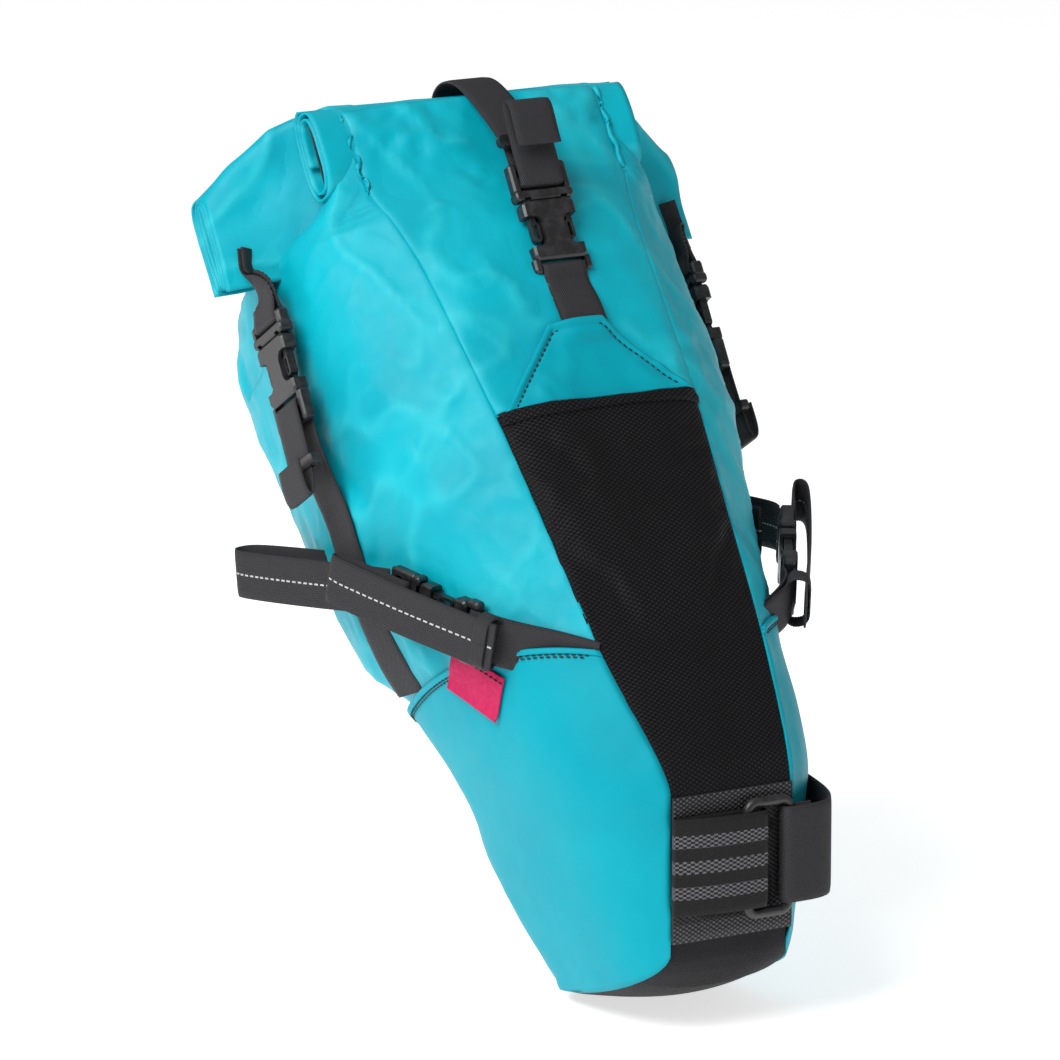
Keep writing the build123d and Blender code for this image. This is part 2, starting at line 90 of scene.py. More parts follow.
def lattice(cell, seed):
    """A repeatable number from -1 to 1 for each integer cell."""
    c = cell.astype(np.int64)
    h = c[..., 0] * 374761393 + c[..., 1] * 668265263 + c[..., 2] * 1440662683 + seed * 974634777
    h = h & 0xFFFFFFFF
    h = ((h ^ (h >> 13)) * 1274126177) & 0xFFFFFFFF
    return ((h ^ (h >> 16)) & 0xFFFF) / 32767.5 - 1


def noise(points, size, seed):
    """Smooth noise from -1 to 1 whose bumps are about size across."""
    p = np.asarray(points, float) / size
    low = np.floor(p)
    t = p - low
    t = t * t * (3 - 2 * t)
    total = 0
    for corner in np.ndindex(2, 2, 2):
        corner = np.array(corner)
        weight = np.prod(np.where(corner, t, 1 - t), axis=-1)
        total = total + weight * lattice(low + corner, seed)
    return total


def creases(points, size, seed):
    """Sharp ridges between flatter facets, from 0 in the facets to 1 on the ridges."""
    return (1 - np.abs(noise(points, size, seed))) ** 4


def hermite(knots, values, at):
    """Monotone cubic through values at knots, so that it never overshoots."""
    knots = np.asarray(knots, float)
    values = np.asarray(values, float)
    step = np.diff(knots)
    slope = np.diff(values) / step
    tangent = np.zeros(len(knots))
    tangent[0] = slope[0]
    tangent[-1] = slope[-1]
    for i in range(1, len(knots) - 1):
        if slope[i - 1] * slope[i] > 0:
            w0 = 2 * step[i] + step[i - 1]
            w1 = step[i] + 2 * step[i - 1]
            tangent[i] = (w0 + w1) / (w0 / slope[i - 1] + w1 / slope[i])
    index = np.clip(np.searchsorted(knots, at, side="right") - 1, 0, len(step) - 1)
    h = step[index]
    s = (at - knots[index]) / h
    return (
        values[index] * (1 + 2 * s) * (1 - s) ** 2 + tangent[index] * h * s * (1 - s) ** 2
        + values[index + 1] * s * s * (3 - 2 * s) + tangent[index + 1] * h * s * s * (s - 1)
    )


def resample(grid, at, axis):
    """Rows or columns of a grid at fractional places, on Catmull-Rom curves."""
    grid = np.moveaxis(grid, axis, 0)
    last = len(grid) - 1
    at = np.clip(at, 0, last)
    low = np.minimum(np.floor(at).astype(int), last - 1)
    t = (at - low).reshape((-1,) + (1,) * (grid.ndim - 1))
    p1 = grid[low]
    p2 = grid[low + 1]
    p0 = np.where((low > 0).reshape(t.shape), grid[np.maximum(low - 1, 0)], 2 * p1 - p2)
    p3 = np.where((low + 2 <= last).reshape(t.shape), grid[np.minimum(low + 2, last)], 2 * p2 - p1)
    out = 0.5 * (2 * p1 + (p2 - p0) * t + (2 * p0 - 5 * p1 + 4 * p2 - p3) * t ** 2
                 + (3 * p1 - p0 - 3 * p2 + p3) * t ** 3)
    return np.moveaxis(out, 0, axis)


def grid_normals(grid):
    """Outward normals of a grid whose columns run anticlockwise round the bag, and rows up it."""
    across = np.gradient(grid, axis=1)
    up = np.gradient(grid, axis=0)
    return unit(np.cross(across, up))


def grid_faces(rows, columns):
    """Quads of a grid, with their normals along columns x rows."""
    index = np.arange(rows * columns).reshape(rows, columns)
    return np.stack([index[:-1, :-1], index[:-1, 1:], index[1:, 1:], index[1:, :-1]], -1).reshape(-1, 4)


def arc_lengths(grid, axis):
    """The distance along a grid's rows or columns from its start."""
    steps = np.linalg.norm(np.diff(grid, axis=axis), axis=-1)
    start = np.zeros_like(np.take(steps, [0], axis=axis))
    return np.concatenate([start, np.cumsum(steps, axis=axis)], axis=axis)


def piece(name, points, faces, material, weave=None, extra=None):
    """A mesh object. weave is the cloth's own flat coordinates, in mm, for its material."""
    points = np.asarray(points, float).reshape(-1, 3)
    mesh = bpy.data.meshes.new(name)
    mesh.from_pydata((points * MM).tolist(), [], [list(map(int, f)) for f in faces])
    mesh.polygons.foreach_set("use_smooth", np.ones(len(mesh.polygons), bool))
    if weave is not None:
        flat = np.zeros((len(points), 3), np.float32)
        flat[:, :2] = np.asarray(weave, float).reshape(-1, 2) * MM
        mesh.attributes.new("weave", "FLOAT_VECTOR", "POINT").data.foreach_set("vector", flat.ravel())
    for key, values in (extra or {}).items():
        data = np.asarray(values, np.float32).ravel()
        mesh.attributes.new(key, "FLOAT", "POINT").data.foreach_set("value", data)
    mesh.validate()
    obj = bpy.data.objects.new(name, mesh)
    bpy.context.scene.collection.objects.link(obj)
    mesh.materials.append(material)
    return obj


def declare(obj, body, slot, *nodes):
    """Hang a piece on the body it rides on and hide the CAD nodes it stands for; slot, its finish, is not
    used.
    """
    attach(obj, body)
    if nodes:
        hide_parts(*nodes)


def thicken(points, normals, thickness):
    """Both skins of a grid and the rim between them, as (points, faces)."""
    rows, columns = points.shape[:2]
    inner = points - normals * thickness
    outer_faces = grid_faces(rows, columns)
    count = rows * columns
    inner_faces = outer_faces[:, ::-1] + count
    index = np.arange(count).reshape(rows, columns)
    loop = np.concatenate([index[0, :-1], index[:-1, -1], index[-1, :0:-1], index[:0:-1, 0]])
    after = np.roll(loop, -1)
    rim = np.stack([after, loop, loop + count, after + count], -1)
    return np.concatenate([points.reshape(-1, 3), inner.reshape(-1, 3)]), np.concatenate(
        [outer_faces, inner_faces, rim])


def cloth_piece(name, grid, material, thickness=CLOTH, normals=None, weave=None, extra=None):
    """A closed piece of cloth on a grid: its outer skin is the grid, its thickness goes inwards."""
    if normals is None:
        normals = grid_normals(grid)
    if weave is None:
        weave = np.stack([arc_lengths(grid, 1), arc_lengths(grid, 0)], -1)
        weave[..., 0] -= weave[:, -1:, 0] / 2
    points, faces = thicken(grid, normals, thickness)
    both = np.concatenate([weave.reshape(-1, 2)] * 2)
    doubled = {key: np.concatenate([np.ravel(v)] * 2) for key, v in (extra or {}).items()}
    return piece(name, points, faces, material, both, doubled)


# ---------------------------------------------------------------- materials

def add(tree, kind, inputs=None, **settings):
    """A shader node: inputs take a value or another node's output."""
    made = tree.nodes.new(kind)
    for key, value in settings.items():
        setattr(made, key, value)
    for key, value in (inputs or {}).items():
        if isinstance(value, bpy.types.NodeSocket):
            tree.links.new(value, made.inputs[key])
        else:
            made.inputs[key].default_value = value
    return made


def maths(tree, operation, *values, clamp=False):
    made = add(tree, "ShaderNodeMath", dict(enumerate(values)), operation=operation, use_clamp=clamp)
    return made.outputs[0]


def mix(tree, share, low, high):
    """A colour between low and high."""
    made = add(tree, "ShaderNodeMix", data_type="RGBA")
    for index, value in ((0, share), (6, low), (7, high)):
        if isinstance(value, bpy.types.NodeSocket):
            tree.links.new(value, made.inputs[index])
        else:
            made.inputs[index].default_value = value
    return made.outputs[2]


def ramp(tree, value, low, high, to_low=0.0, to_high=1.0):
    """value's range from low to high, stretched to another and clamped."""
    return add(tree, "ShaderNodeMapRange", {
        "Value": value, "From Min": low, "From Max": high, "To Min": to_low, "To Max": to_high}).outputs[0]


def attribute(tree, name):
    return add(tree, "ShaderNodeAttribute", attribute_name=name)


def blotches(tree, size, detail=4.0, rough=0.55, vector=None):
    """Noise with bumps about size mm across, on the object's own coordinates."""
    if vector is None:
        vector = add(tree, "ShaderNodeTexCoord").outputs["Object"]
    return add(tree, "ShaderNodeTexNoise", {
        "Vector": vector, "Scale": 1 / (size * MM), "Detail": detail, "Roughness": rough}).outputs[0]


def flat_coordinates(tree):
    """The cloth's own across and along coordinates, in metres."""
    split = add(tree, "ShaderNodeSeparateXYZ", {0: attribute(tree, "weave").outputs["Vector"]})
    return split.outputs[0], split.outputs[1]


def wave(tree, value, pitch):
    """A sine that repeats every pitch mm."""
    return maths(tree, "SINE", maths(tree, "MULTIPLY", value, 2 * math.pi / (pitch * MM)))


def plain_weave(tree, across, along, pitch, stretch=1.0):
    """Threads passing over and under, from -1 to 1, with a bump every pitch mm in staggered rows."""
    return maths(tree, "MULTIPLY", wave(tree, across, pitch * 2 * stretch), wave(tree, along, pitch * 2))


def material(name, roughness, sheen=0.0, specular=0.5):
    made = bpy.data.materials.new(name)
    made.use_nodes = True
    tree = made.node_tree
    shader = tree.nodes["Principled BSDF"]
    shader.inputs["Roughness"].default_value = roughness
    shader.inputs["Sheen Weight"].default_value = sheen
    shader.inputs["Sheen Roughness"].default_value = 0.4
    shader.inputs["Specular IOR Level"].default_value = specular
    return made, tree, shader


def bump(tree, height, distance, strength=1.0, under=None):
    """A bump whose height of 1 stands distance mm proud."""
    inputs = {"Height": height, "Distance": distance * MM, "Strength": strength}
    if under is not None:
        inputs["Normal"] = under
    return add(tree, "ShaderNodeBump", inputs).outputs[0]


def coated_nylon():
    """The teal shell cloth: a fine tight weave under a coating, with crushed facets that catch light."""
    made, tree, shader = material("coated_nylon", 0.42, sheen=0.02, specular=0.2)
    across, along = flat_coordinates(tree)
    weave = plain_weave(tree, across, along, 0.42)
    crease = attribute(tree, "crease").outputs["Fac"]
    broad = blotches(tree, 55, 3)
    fine = blotches(tree, 9, 5, 0.6)
    tone = ramp(tree, broad, 0.3, 0.7)
    base = mix(tree, tone, (0.0, 0.34, 0.44, 1), (0.0, 0.43, 0.53, 1))
    worn = ramp(tree, crease, 0.35, 1.0, 0.0, 0.35)
    base = mix(tree, worn, base, (0.05, 0.62, 0.68, 1))
    threads = ramp(tree, weave, -1, 1, 0.93, 1.05)
    scaled = add(tree, "ShaderNodeVectorMath", {0: base, "Scale": threads}, operation="SCALE").outputs[0]
    tree.links.new(scaled, shader.inputs["Base Color"])
    tree.links.new(ramp(tree, fine, 0.3, 0.7, 0.34, 0.5), shader.inputs["Roughness"])
    fold = maths(tree, "ABSOLUTE", maths(tree, "SUBTRACT", blotches(tree, 30, 2, 0.4), 0.5))
    folded = bump(tree, ramp(tree, fold, 0.0, 0.12), 0.7, 0.35)
    soft = bump(tree, fine, 0.5, 0.3, folded)
    tree.links.new(bump(tree, weave, 0.035, 0.8, soft), shader.inputs["Normal"])
    return made


def taut_nylon():
    """The same cloth where a second layer holds it flat: no crushed facets, and a darker teal that is
    painted shade.
    """
    made, tree, shader = material("taut_nylon", 0.48, sheen=0.02, specular=0.12)
    across, along = flat_coordinates(tree)
    weave = plain_weave(tree, across, along, 0.42)
    broad = blotches(tree, 60, 3)
    fine = blotches(tree, 14, 4)
    # painted shade: both teals are darker than coated_nylon's, though the cloth is the same
    base = mix(tree, ramp(tree, broad, 0.3, 0.7), (0.0, 0.31, 0.4, 1), (0.0, 0.35, 0.44, 1))
    threads = ramp(tree, weave, -1, 1, 0.94, 1.04)
    scaled = add(tree, "ShaderNodeVectorMath", {0: base, "Scale": threads}, operation="SCALE").outputs[0]
    tree.links.new(scaled, shader.inputs["Base Color"])
    tree.links.new(ramp(tree, fine, 0.3, 0.7, 0.4, 0.52), shader.inputs["Roughness"])
    soft = bump(tree, fine, 0.7, 0.35)
    tree.links.new(bump(tree, weave, 0.035, 0.8, soft), shader.inputs["Normal"])
    return made


def ballistic(name, pitch, rise, low, high, roughness=0.55):
    """Heavy black cloth with a raised staggered weave whose tops carry a painted paler highlight, patchy
    across the cloth.
    """
    made, tree, shader = material(name, roughness, specular=0.14)
    across, along = flat_coordinates(tree)
    weave = plain_weave(tree, across, along, pitch, 1.5)
    fibres = blotches(tree, 1.2, 3)
    wear = blotches(tree, 40, 3)
    # painted highlight: the weave's tops are mixed towards the paler colour high, and patchy noise makes
    # this painted highlight stronger in places
    weave_highlight = maths(tree, "MULTIPLY", ramp(tree, weave, 0.1, 1.0), ramp(tree, wear, 0.3, 0.7, 0.55, 1.0))
    tree.links.new(mix(tree, weave_highlight, low, high), shader.inputs["Base Color"])
    uneven = ramp(tree, fibres, 0.3, 0.7, roughness - 0.08, roughness + 0.1)
    tree.links.new(uneven, shader.inputs["Roughness"])
    rough = bump(tree, fibres, 0.12, 0.5)
    tree.links.new(bump(tree, weave, rise, 1.0, rough), shader.inputs["Normal"])
    return made


def webbing_material(name, tracer=False, stripes=False):
    """Black webbing with fine cross ribs, and either a dashed tracer thread or three grippy stripes."""
    made, tree, shader = material(name, 0.55, sheen=0.02, specular=0.25)
    across, along = flat_coordinates(tree)
    fibres = blotches(tree, 1.0, 3)
    weave = plain_weave(tree, across, along, 0.65, 1.0)
    tone = ramp(tree, weave, -1, 1)
    low, high = ((0.003, 0.003, 0.003, 1), (0.013, 0.013, 0.015, 1)) if stripes else (
        (0.005, 0.005, 0.006, 1), (0.052, 0.05, 0.055, 1))
    base = mix(tree, tone, low, high)
    rise = weave
    if tracer:
        centred = maths(tree, "LESS_THAN", maths(tree, "ABSOLUTE", across), 0.45 * MM)
        dash = maths(tree, "GREATER_THAN", wave(tree, along, 4.2), -0.35)
        base = mix(tree, maths(tree, "MULTIPLY", centred, dash), base, (0.55, 0.55, 0.56, 1))
    if stripes:
        brick = plain_weave(tree, along, across, 1.15, 1.8)
        near = None
        for middle in (-13.5, 0.0, 13.5):
            off = maths(tree, "ABSOLUTE", maths(tree, "SUBTRACT", across, middle * MM))
            band = maths(tree, "LESS_THAN", off, 3.4 * MM)
            near = band if near is None else maths(tree, "MAXIMUM", near, band)
        grip = maths(tree, "MULTIPLY", near, ramp(tree, brick, -0.25, 0.3))
        base = mix(tree, grip, base, (0.16, 0.155, 0.17, 1))
        rise = maths(tree, "ADD", rise, maths(tree, "MULTIPLY", grip, 2.5))
    tree.links.new(base, shader.inputs["Base Color"])
    tree.links.new(ramp(tree, fibres, 0.3, 0.7, 0.42, 0.62), shader.inputs["Roughness"])
    rough = bump(tree, fibres, 0.1, 0.4)
    tree.links.new(bump(tree, rise, 0.16, 1.0, rough), shader.inputs["Normal"])
    return made


def moulded_plastic():
    """Black acetal: satin, with a fine spark-eroded grain and faint scuffs."""
    made, tree, shader = material("moulded_plastic", 0.36, specular=0.5)
    grain = blotches(tree, 0.35, 2)
    scuff = blotches(tree, 6, 5, 0.7)
    worn = ramp(tree, scuff, 0.45, 0.75)
    base = mix(tree, worn, (0.012, 0.012, 0.013, 1), (0.036, 0.035, 0.039, 1))
    tree.links.new(base, shader.inputs["Base Color"])
    tree.links.new(ramp(tree, scuff, 0.3, 0.7, 0.26, 0.46), shader.inputs["Roughness"])
    tree.links.new(bump(tree, grain, 0.02, 0.6), shader.inputs["Normal"])
    return made


def thread_material(name, colour):
    """Twisted sewing thread."""
    made, tree, shader = material(name, 0.6, sheen=0.2, specular=0.3)
    twist = blotches(tree, 0.5, 2)
    dark = tuple(c * 0.6 for c in colour[:3]) + (1,)
    tree.links.new(mix(tree, twist, dark, colour), shader.inputs["Base Color"])
    tree.links.new(bump(tree, twist, 0.08, 0.6), shader.inputs["Normal"])
    return made


def label_cloth():
    """Woven label: a tight satin twill."""
    made, tree, shader = material("label_cloth", 0.6, sheen=0.05, specular=0.2)
    across, along = flat_coordinates(tree)
    twill = wave(tree, maths(tree, "ADD", across, along), 0.5)
    fuzz = blotches(tree, 3, 4)
    base = mix(tree, ramp(tree, fuzz, 0.3, 0.7), (0.5, 0.006, 0.075, 1), (0.62, 0.012, 0.115, 1))
    threads = ramp(tree, twill, -1, 1, 0.88, 1.05)
    scaled = add(tree, "ShaderNodeVectorMath", {0: base, "Scale": threads}, operation="SCALE").outputs[0]
    tree.links.new(scaled, shader.inputs["Base Color"])
    tree.links.new(bump(tree, twill, 0.05, 0.7, bump(tree, fuzz, 0.4, 0.4)), shader.inputs["Normal"])
    return made


def sheet_plastic():
    """Dark stiffener sheet."""
    made, tree, shader = material("sheet_plastic", 0.4)
    cloud = blotches(tree, 20, 3)
    base = mix(tree, cloud, (0.012, 0.012, 0.013, 1), (0.03, 0.03, 0.032, 1))
    tree.links.new(base, shader.inputs["Base Color"])
    tree.links.new(bump(tree, cloud, 0.1, 0.3), shader.inputs["Normal"])
    return made


def pad_webbing():
    """Coarse black webbing with dotted grey rows near its two edges."""
    made, tree, shader = material("pad_webbing", 0.6, sheen=0.05, specular=0.35)
    across, along = flat_coordinates(tree)
    brick = plain_weave(tree, along, across, 1.2, 1.5)
    edge = maths(tree, "GREATER_THAN", maths(tree, "ABSOLUTE", across), 28.5 * MM)
    dots = maths(tree, "MULTIPLY", edge, ramp(tree, brick, 0.15, 0.55))
    base = mix(tree, ramp(tree, brick, -1, 1), (0.006, 0.006, 0.007, 1), (0.024, 0.023, 0.026, 1))
    tree.links.new(mix(tree, dots, base, (0.1, 0.1, 0.11, 1)), shader.inputs["Base Color"])
    tree.links.new(bump(tree, brick, 0.25), shader.inputs["Normal"])
    return made


def floor_material():
    """Matt white studio paper."""
    made, tree, shader = material("studio_paper", 0.9, specular=0.1)
    shader.inputs["Emission Color"].default_value = (1, 1, 1, 1)
    shader.inputs["Emission Strength"].default_value = 0.66
    tooth = blotches(tree, 2, 2)
    tree.links.new(mix(tree, tooth, (0.9, 0.9, 0.9, 1), (0.93, 0.93, 0.93, 1)), shader.inputs["Base Color"])
    return made


NYLON = coated_nylon()
TAUT = taut_nylon()
# The second colour of each black cloth is the painted highlight on its weave's tops
BLACK_CLOTH = ballistic("ballistic_cloth", 1.25, 0.22, (0.0025, 0.0025, 0.003, 1), (0.026, 0.025, 0.031, 1))
BOOT_CLOTH = ballistic("boot_cloth", 0.8, 0.1, (0.008, 0.008, 0.009, 1), (0.022, 0.021, 0.026, 1))
WEB = webbing_material("webbing")
TRACER_WEB = webbing_material("tracer_webbing", tracer=True)
GRIP_WEB = webbing_material("grip_webbing", stripes=True)
ELASTIC = webbing_material("elastic_band")
PAD_WEB = pad_webbing()
PLASTIC = moulded_plastic()
SHEET = sheet_plastic()
BLACK_THREAD = thread_material("black_thread", (0.012, 0.012, 0.014, 1))
LABEL_CLOTH = label_cloth()


# ---------------------------------------------------------------- the sewn shell

# Cross-sections, as in the CAD: each starts at the front seams (y, z) and runs back and down at
# its lean. Half widths at the front seams, at the widest depth and at the back. crown is how far
# the front panel stands out between its seams.
Station = namedtuple("Station", "y z lean front wide wide_at back depth crown")
STATIONS = [
    Station(2.4, -37, 24, 35, 50, 52, 42, 112, 0),
    Station(2.4, 0, 22, 36, 60, 66, 50, 140, 0),
    Station(2.4, 37, 18, 36, 70, 78, 58, 162, 0),
    Station(49.6, 102.5, 23, 48, 84, 86, 68, 162, 2),
    Station(93, 157, 34, 54, 98, 86, 76, 172, 4),
    Station(137.5, 212.4, 40, 60, 108, 80, 84, 176, 6),
    Station(207, 285, 42, 68, 115, 78, 86, 168, 11),
    Station(225, 301, 30, 72, 113, 74, 84, 148, 11),
    Station(243, 316, 31, 77, 94, 13, 88, 26, 9),
    Station(272, 352, 31, 77, 81, 7, 80, 14, 6),
]
# Station numbers that the pieces below refer to
NOSE_LOW = 0
NOSE_MID = 1
WING_EDGE = 3
PANEL_TOP = 5
CROWN = 6
RIDGE = 9

GRID_STEP = 5.0
FRONT_COLUMNS = 22
SIDE_COLUMNS = 38
BACK_COLUMNS = 28


def station_at(t):
    """Cross-section parameters at fractional station numbers."""
    table = np.array(STATIONS, float)
    return [hermite(range(len(STATIONS)), table[:, k], np.asarray(t, float)) for k in range(table.shape[1])]


def side_curve(front, wide, wide_at, back, depth, share):
    """The side wall's (across, deep) at shares from 0 at the front seam to 1 at the back seam."""
    across = np.array([front, front + 0.78 * (wide - front), wide, back + 0.68 * (wide - back), back])
    deep = np.array([0, 0.42 * wide_at, wide_at, wide_at + 0.72 * (depth - wide_at), depth])
    dense = resample(np.stack([across, deep], -1), np.linspace(0, 4, 81), 0)
    length = arc_lengths(dense[None], 1)[0]
    target = share * length[-1]
    return np.interp(target, length, dense[:, 0]), np.interp(target, length, dense[:, 1])


def rest_surface():
    """The shell before it is simulated: rows up the bag, columns anticlockwise from the left front
    seam, with the first column repeated at the end."""
    fine = np.linspace(0, RIDGE, 400)
    y, z, lean, front, wide, wide_at, back, depth, crown = station_at(fine)
    lean = np.radians(lean)
    seam = np.stack([y, z], -1)
    rear = np.stack([y + depth * np.cos(lean), z - depth * np.sin(lean)], -1)
    length = (arc_lengths(seam[None], 1)[0] + arc_lengths(rear[None], 1)[0]) / 2
    rows = int(round(length[-1] / GRID_STEP))
    at = np.interp(np.linspace(0, length[-1], rows + 1), length, fine)
    table = []
    for y, z, lean, front, wide, wide_at, back, depth, crown in zip(*station_at(at)):
        lean = math.radians(lean)
        s = np.linspace(0, 1, SIDE_COLUMNS + 1)
        side_x, side_d = side_curve(front, wide, wide_at, back, depth, s)
        f = np.linspace(-1, 1, FRONT_COLUMNS + 1)
        b = np.linspace(1, -1, BACK_COLUMNS + 1)
        across = np.concatenate([front * f, side_x[1:], back * b[1:], -side_x[::-1][1:]])
        deep = np.concatenate([
            -crown * (1 - np.abs(f) ** 2.2), side_d[1:], depth + 5 * (1 - b[1:] ** 2) * (depth > 60),
            side_d[::-1][1:]])
        table.append(np.stack([
            across, y + deep * math.cos(lean), z - deep * math.sin(lean)], -1))
    return np.array(table), at


SEAMS = [0, FRONT_COLUMNS, FRONT_COLUMNS + SIDE_COLUMNS, FRONT_COLUMNS + SIDE_COLUMNS + BACK_COLUMNS,
         FRONT_COLUMNS + 2 * SIDE_COLUMNS + BACK_COLUMNS]
MOST_MOVE = 7.0
MOST_IN = 0.3
MOST_OUT = 2.6
SIM_FRAMES = 24


def calm(station):
    """How free the cloth is at each station: held nearly flat under the wings, free above them."""
    return np.clip((station - WING_EDGE) * 2, 0.12, 1)


CENTRE_ORIGIN = vec(6, 186, 279.6)
STRAP_PRESS = 22.0


def beside_strap(points, station):
    """How free the front panel is: the centre closure presses it flat."""
    pressed = np.exp(-((points[..., 0] - CENTRE_ORIGIN[0]) / STRAP_PRESS) ** 4)
    return 1 - 0.9 * pressed * (station > PANEL_TOP)[:, None]


def simulate(rest, at):
    """The shell slackened and filled by Blender's cloth, held at its seams."""
    rows, columns = rest.shape[0], rest.shape[1] - 1
    points = rest[:, :-1].reshape(-1, 3)
    index = np.arange(rows * columns).reshape(rows, columns)
    after = np.roll(index, -1, axis=1)
    faces = np.stack([index[:-1], after[:-1], after[1:], index[1:]], -1).reshape(-1, 4)
    obj = piece("shell_simulation", points, faces, NYLON)
    held = obj.vertex_groups.new(name="held")
    fixed = np.concatenate([index[0], index[-1]] + [index[:, s % columns] for s in SEAMS[:-1]])
    held.add([int(i) for i in np.unique(fixed)], 1.0, "REPLACE")
    cloth = obj.modifiers.new("cloth", "CLOTH")
    settings = cloth.settings
    settings.quality = 6
    settings.mass = 0.25
    settings.tension_stiffness = 25
    settings.compression_stiffness = 25
    settings.shear_stiffness = 8
    settings.bending_stiffness = 0.35
    settings.air_damping = 2
    settings.vertex_group_mass = "held"
    settings.pin_stiffness = 1
    settings.shrink_min = -0.035
    settings.use_pressure = True
    settings.uniform_pressure_force = 3.5
    settings.effector_weights.gravity = 0.1
    cloth.collision_settings.use_collision = False
    cloth.point_cache.frame_start = 1
    cloth.point_cache.frame_end = SIM_FRAMES
    scene = bpy.context.scene
    for step in range(1, SIM_FRAMES + 1):
        scene.frame_set(step)
    evaluated = obj.evaluated_get(bpy.context.evaluated_depsgraph_get())
    moved = np.zeros(rows * columns * 3)
    evaluated.data.vertices.foreach_get("co", moved)
    moved = moved.reshape(rows, columns, 3) / MM
    bpy.data.objects.remove(obj)
    scene.frame_set(1)
    moved = np.concatenate([moved, moved[:, :1]], axis=1)
    shift = moved - rest
    size = np.linalg.norm(shift, axis=-1, keepdims=True)
    shift = shift * MOST_MOVE / np.maximum(size, MOST_MOVE)
    normals = grid_normals(rest)
    outward = np.sum(shift * normals, -1, keepdims=True)
    shift = shift + normals * (np.clip(outward, -MOST_IN, MOST_OUT) - outward)
    free = np.repeat(calm(at)[:, None], rest.shape[1], axis=1)
    front = slice(0, FRONT_COLUMNS + 1)
    free[:, front] *= beside_strap(rest[:, front], at)
    return rest + shift * free[..., None]


rest, row_station = rest_surface()
shell = simulate(rest, row_station)


def row_of(station):
    """The shell's fractional row at a station."""
    return np.interp(station, row_station, np.arange(len(row_station)))


def panel_columns(first, last):
    """Fractional columns of one panel, closer together beside its seams."""
    middle = np.arange(first + 1.5, last - 1.49, 0.5)
    edge = np.array([0, 0.22, 0.5, 1.0])
    return np.concatenate([first + edge, middle, last - edge[::-1]])


def seam_distance(grid):
    """How far each point is from the nearer of its panel's two seams, in mm."""
    length = arc_lengths(grid, 1)
    return np.minimum(length, length[:, -1:] - length)


DRAWN = np.array([[0.8, 0, -0.35], [0, 0.9, 0], [0.5, 0, 0.5]])


def crumple(grid, normals, near_seam, amount):
    """Crushed facets over the cloth, and puckers running out of its seams; also how creased it is."""
    drawn = grid @ DRAWN
    ridge = creases(drawn, 26, 11) * 0.65 + creases(drawn, 13, 12) * 0.35
    swell = noise(drawn, 34, 13)
    along = arc_lengths(grid, 0)
    place = np.stack([along, np.zeros_like(along), grid[..., 0] * 0.02], -1)
    pucker = noise(place, 9, 14) * np.exp(-near_seam / 10)
    height = amount * (2.3 * ridge + 1.9 * swell) + 1.3 * pucker
    groove = 1.1 * np.exp(-(near_seam / 1.4) ** 2)
    fade = 1 - np.exp(-(near_seam / 6) ** 2)
    height = np.maximum(height, -MOST_IN)
    return grid + normals * (height * fade - groove)[..., None], ridge * amount


def panel_grid(first, last, low, high, amount, step=0.5):
    """One panel of the shell between two stations, with crumples, seams and its crease values."""
    rows = row_of([low, high])
    count = int(math.ceil((rows[1] - rows[0]) / step))
    grid = resample(shell, np.linspace(rows[0], rows[1], count + 1), 0)
    grid = resample(grid, panel_columns(first, last), 1)
    near = seam_distance(grid)
    station = np.interp(np.linspace(rows[0], rows[1], count + 1), np.arange(len(row_station)), row_station)
    amount = amount * calm(station)[:, None]
    if first == SEAMS[0]:
        amount = amount * beside_strap(grid, station)
    return crumple(grid, grid_normals(grid), near, amount)


def stretch(obj):
    """Cloth that reaches up to the roll, with its transform baked into its mesh."""
    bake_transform(obj)


def make_panel(name, node, seams, low, high, cloth, amount, reaches_roll):
    """One panel of the bag's skin, between two seams and two stations."""
    grid, ridge = panel_grid(*seams, low, high, amount)
    if cloth is BLACK_CLOTH:
        inside = 1 - np.exp(-(seam_distance(grid) / 9) ** 2)
        waves = 1 + noise(grid * vec(0.35, 1, 1), 21, 15)
        grid = grid + grid_normals(grid) * (1.5 * waves * inside)[..., None]
    obj = cloth_piece(name, grid, cloth, extra={"crease": ridge})
    if reaches_roll:
        stretch(obj)
    else:
        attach(obj, "bag")
    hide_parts(node)
    return grid


def make_shell():
    """Every panel; the front and side ones are handed back for other pieces to lie on."""
    front = (SEAMS[0], SEAMS[1])
    right = (SEAMS[1], SEAMS[2])
    back = (SEAMS[2], SEAMS[3])
    left = (SEAMS[3], SEAMS[4])
    wear = make_panel(
        "wear_panel_cloth", "wear_panel", front, NOSE_LOW, PANEL_TOP, BLACK_CLOTH, 0.35, False)
    upper = make_panel("front_panel_cloth", "front_panel", front, PANEL_TOP, RIDGE, NYLON, 1.0, True)
    sides = {
        word: make_panel(
            f"side_panel_{word}_cloth", f"side_panel_{word}", seams, NOSE_LOW, RIDGE, NYLON, 1.0, True)
        for word, seams in (("right", right), ("left", left))}
    make_panel("back_panel_cloth", "back_panel", back, NOSE_MID, CROWN, NYLON, 0.8, False)
    make_panel("shoulder_panel_cloth", "shoulder_panel", back, CROWN, RIDGE, NYLON, 0.8, True)
    return (wear, upper), sides


FRONT_GRIDS, SIDE_GRIDS = make_shell()


# ---------------------------------------------------------------- laying cloth on cloth

def surface_tree(*grids):
    """Grids that points can be laid on."""
    points = []
    faces = []
    for grid in grids:
        faces += [tuple(int(i) + len(points) for i in face) for face in grid_faces(*grid.shape[:2])]
        points += [Vector(p) for p in grid.reshape(-1, 3)]
    return BVHTree.FromPolygons(points, faces)


REACH = 60.0


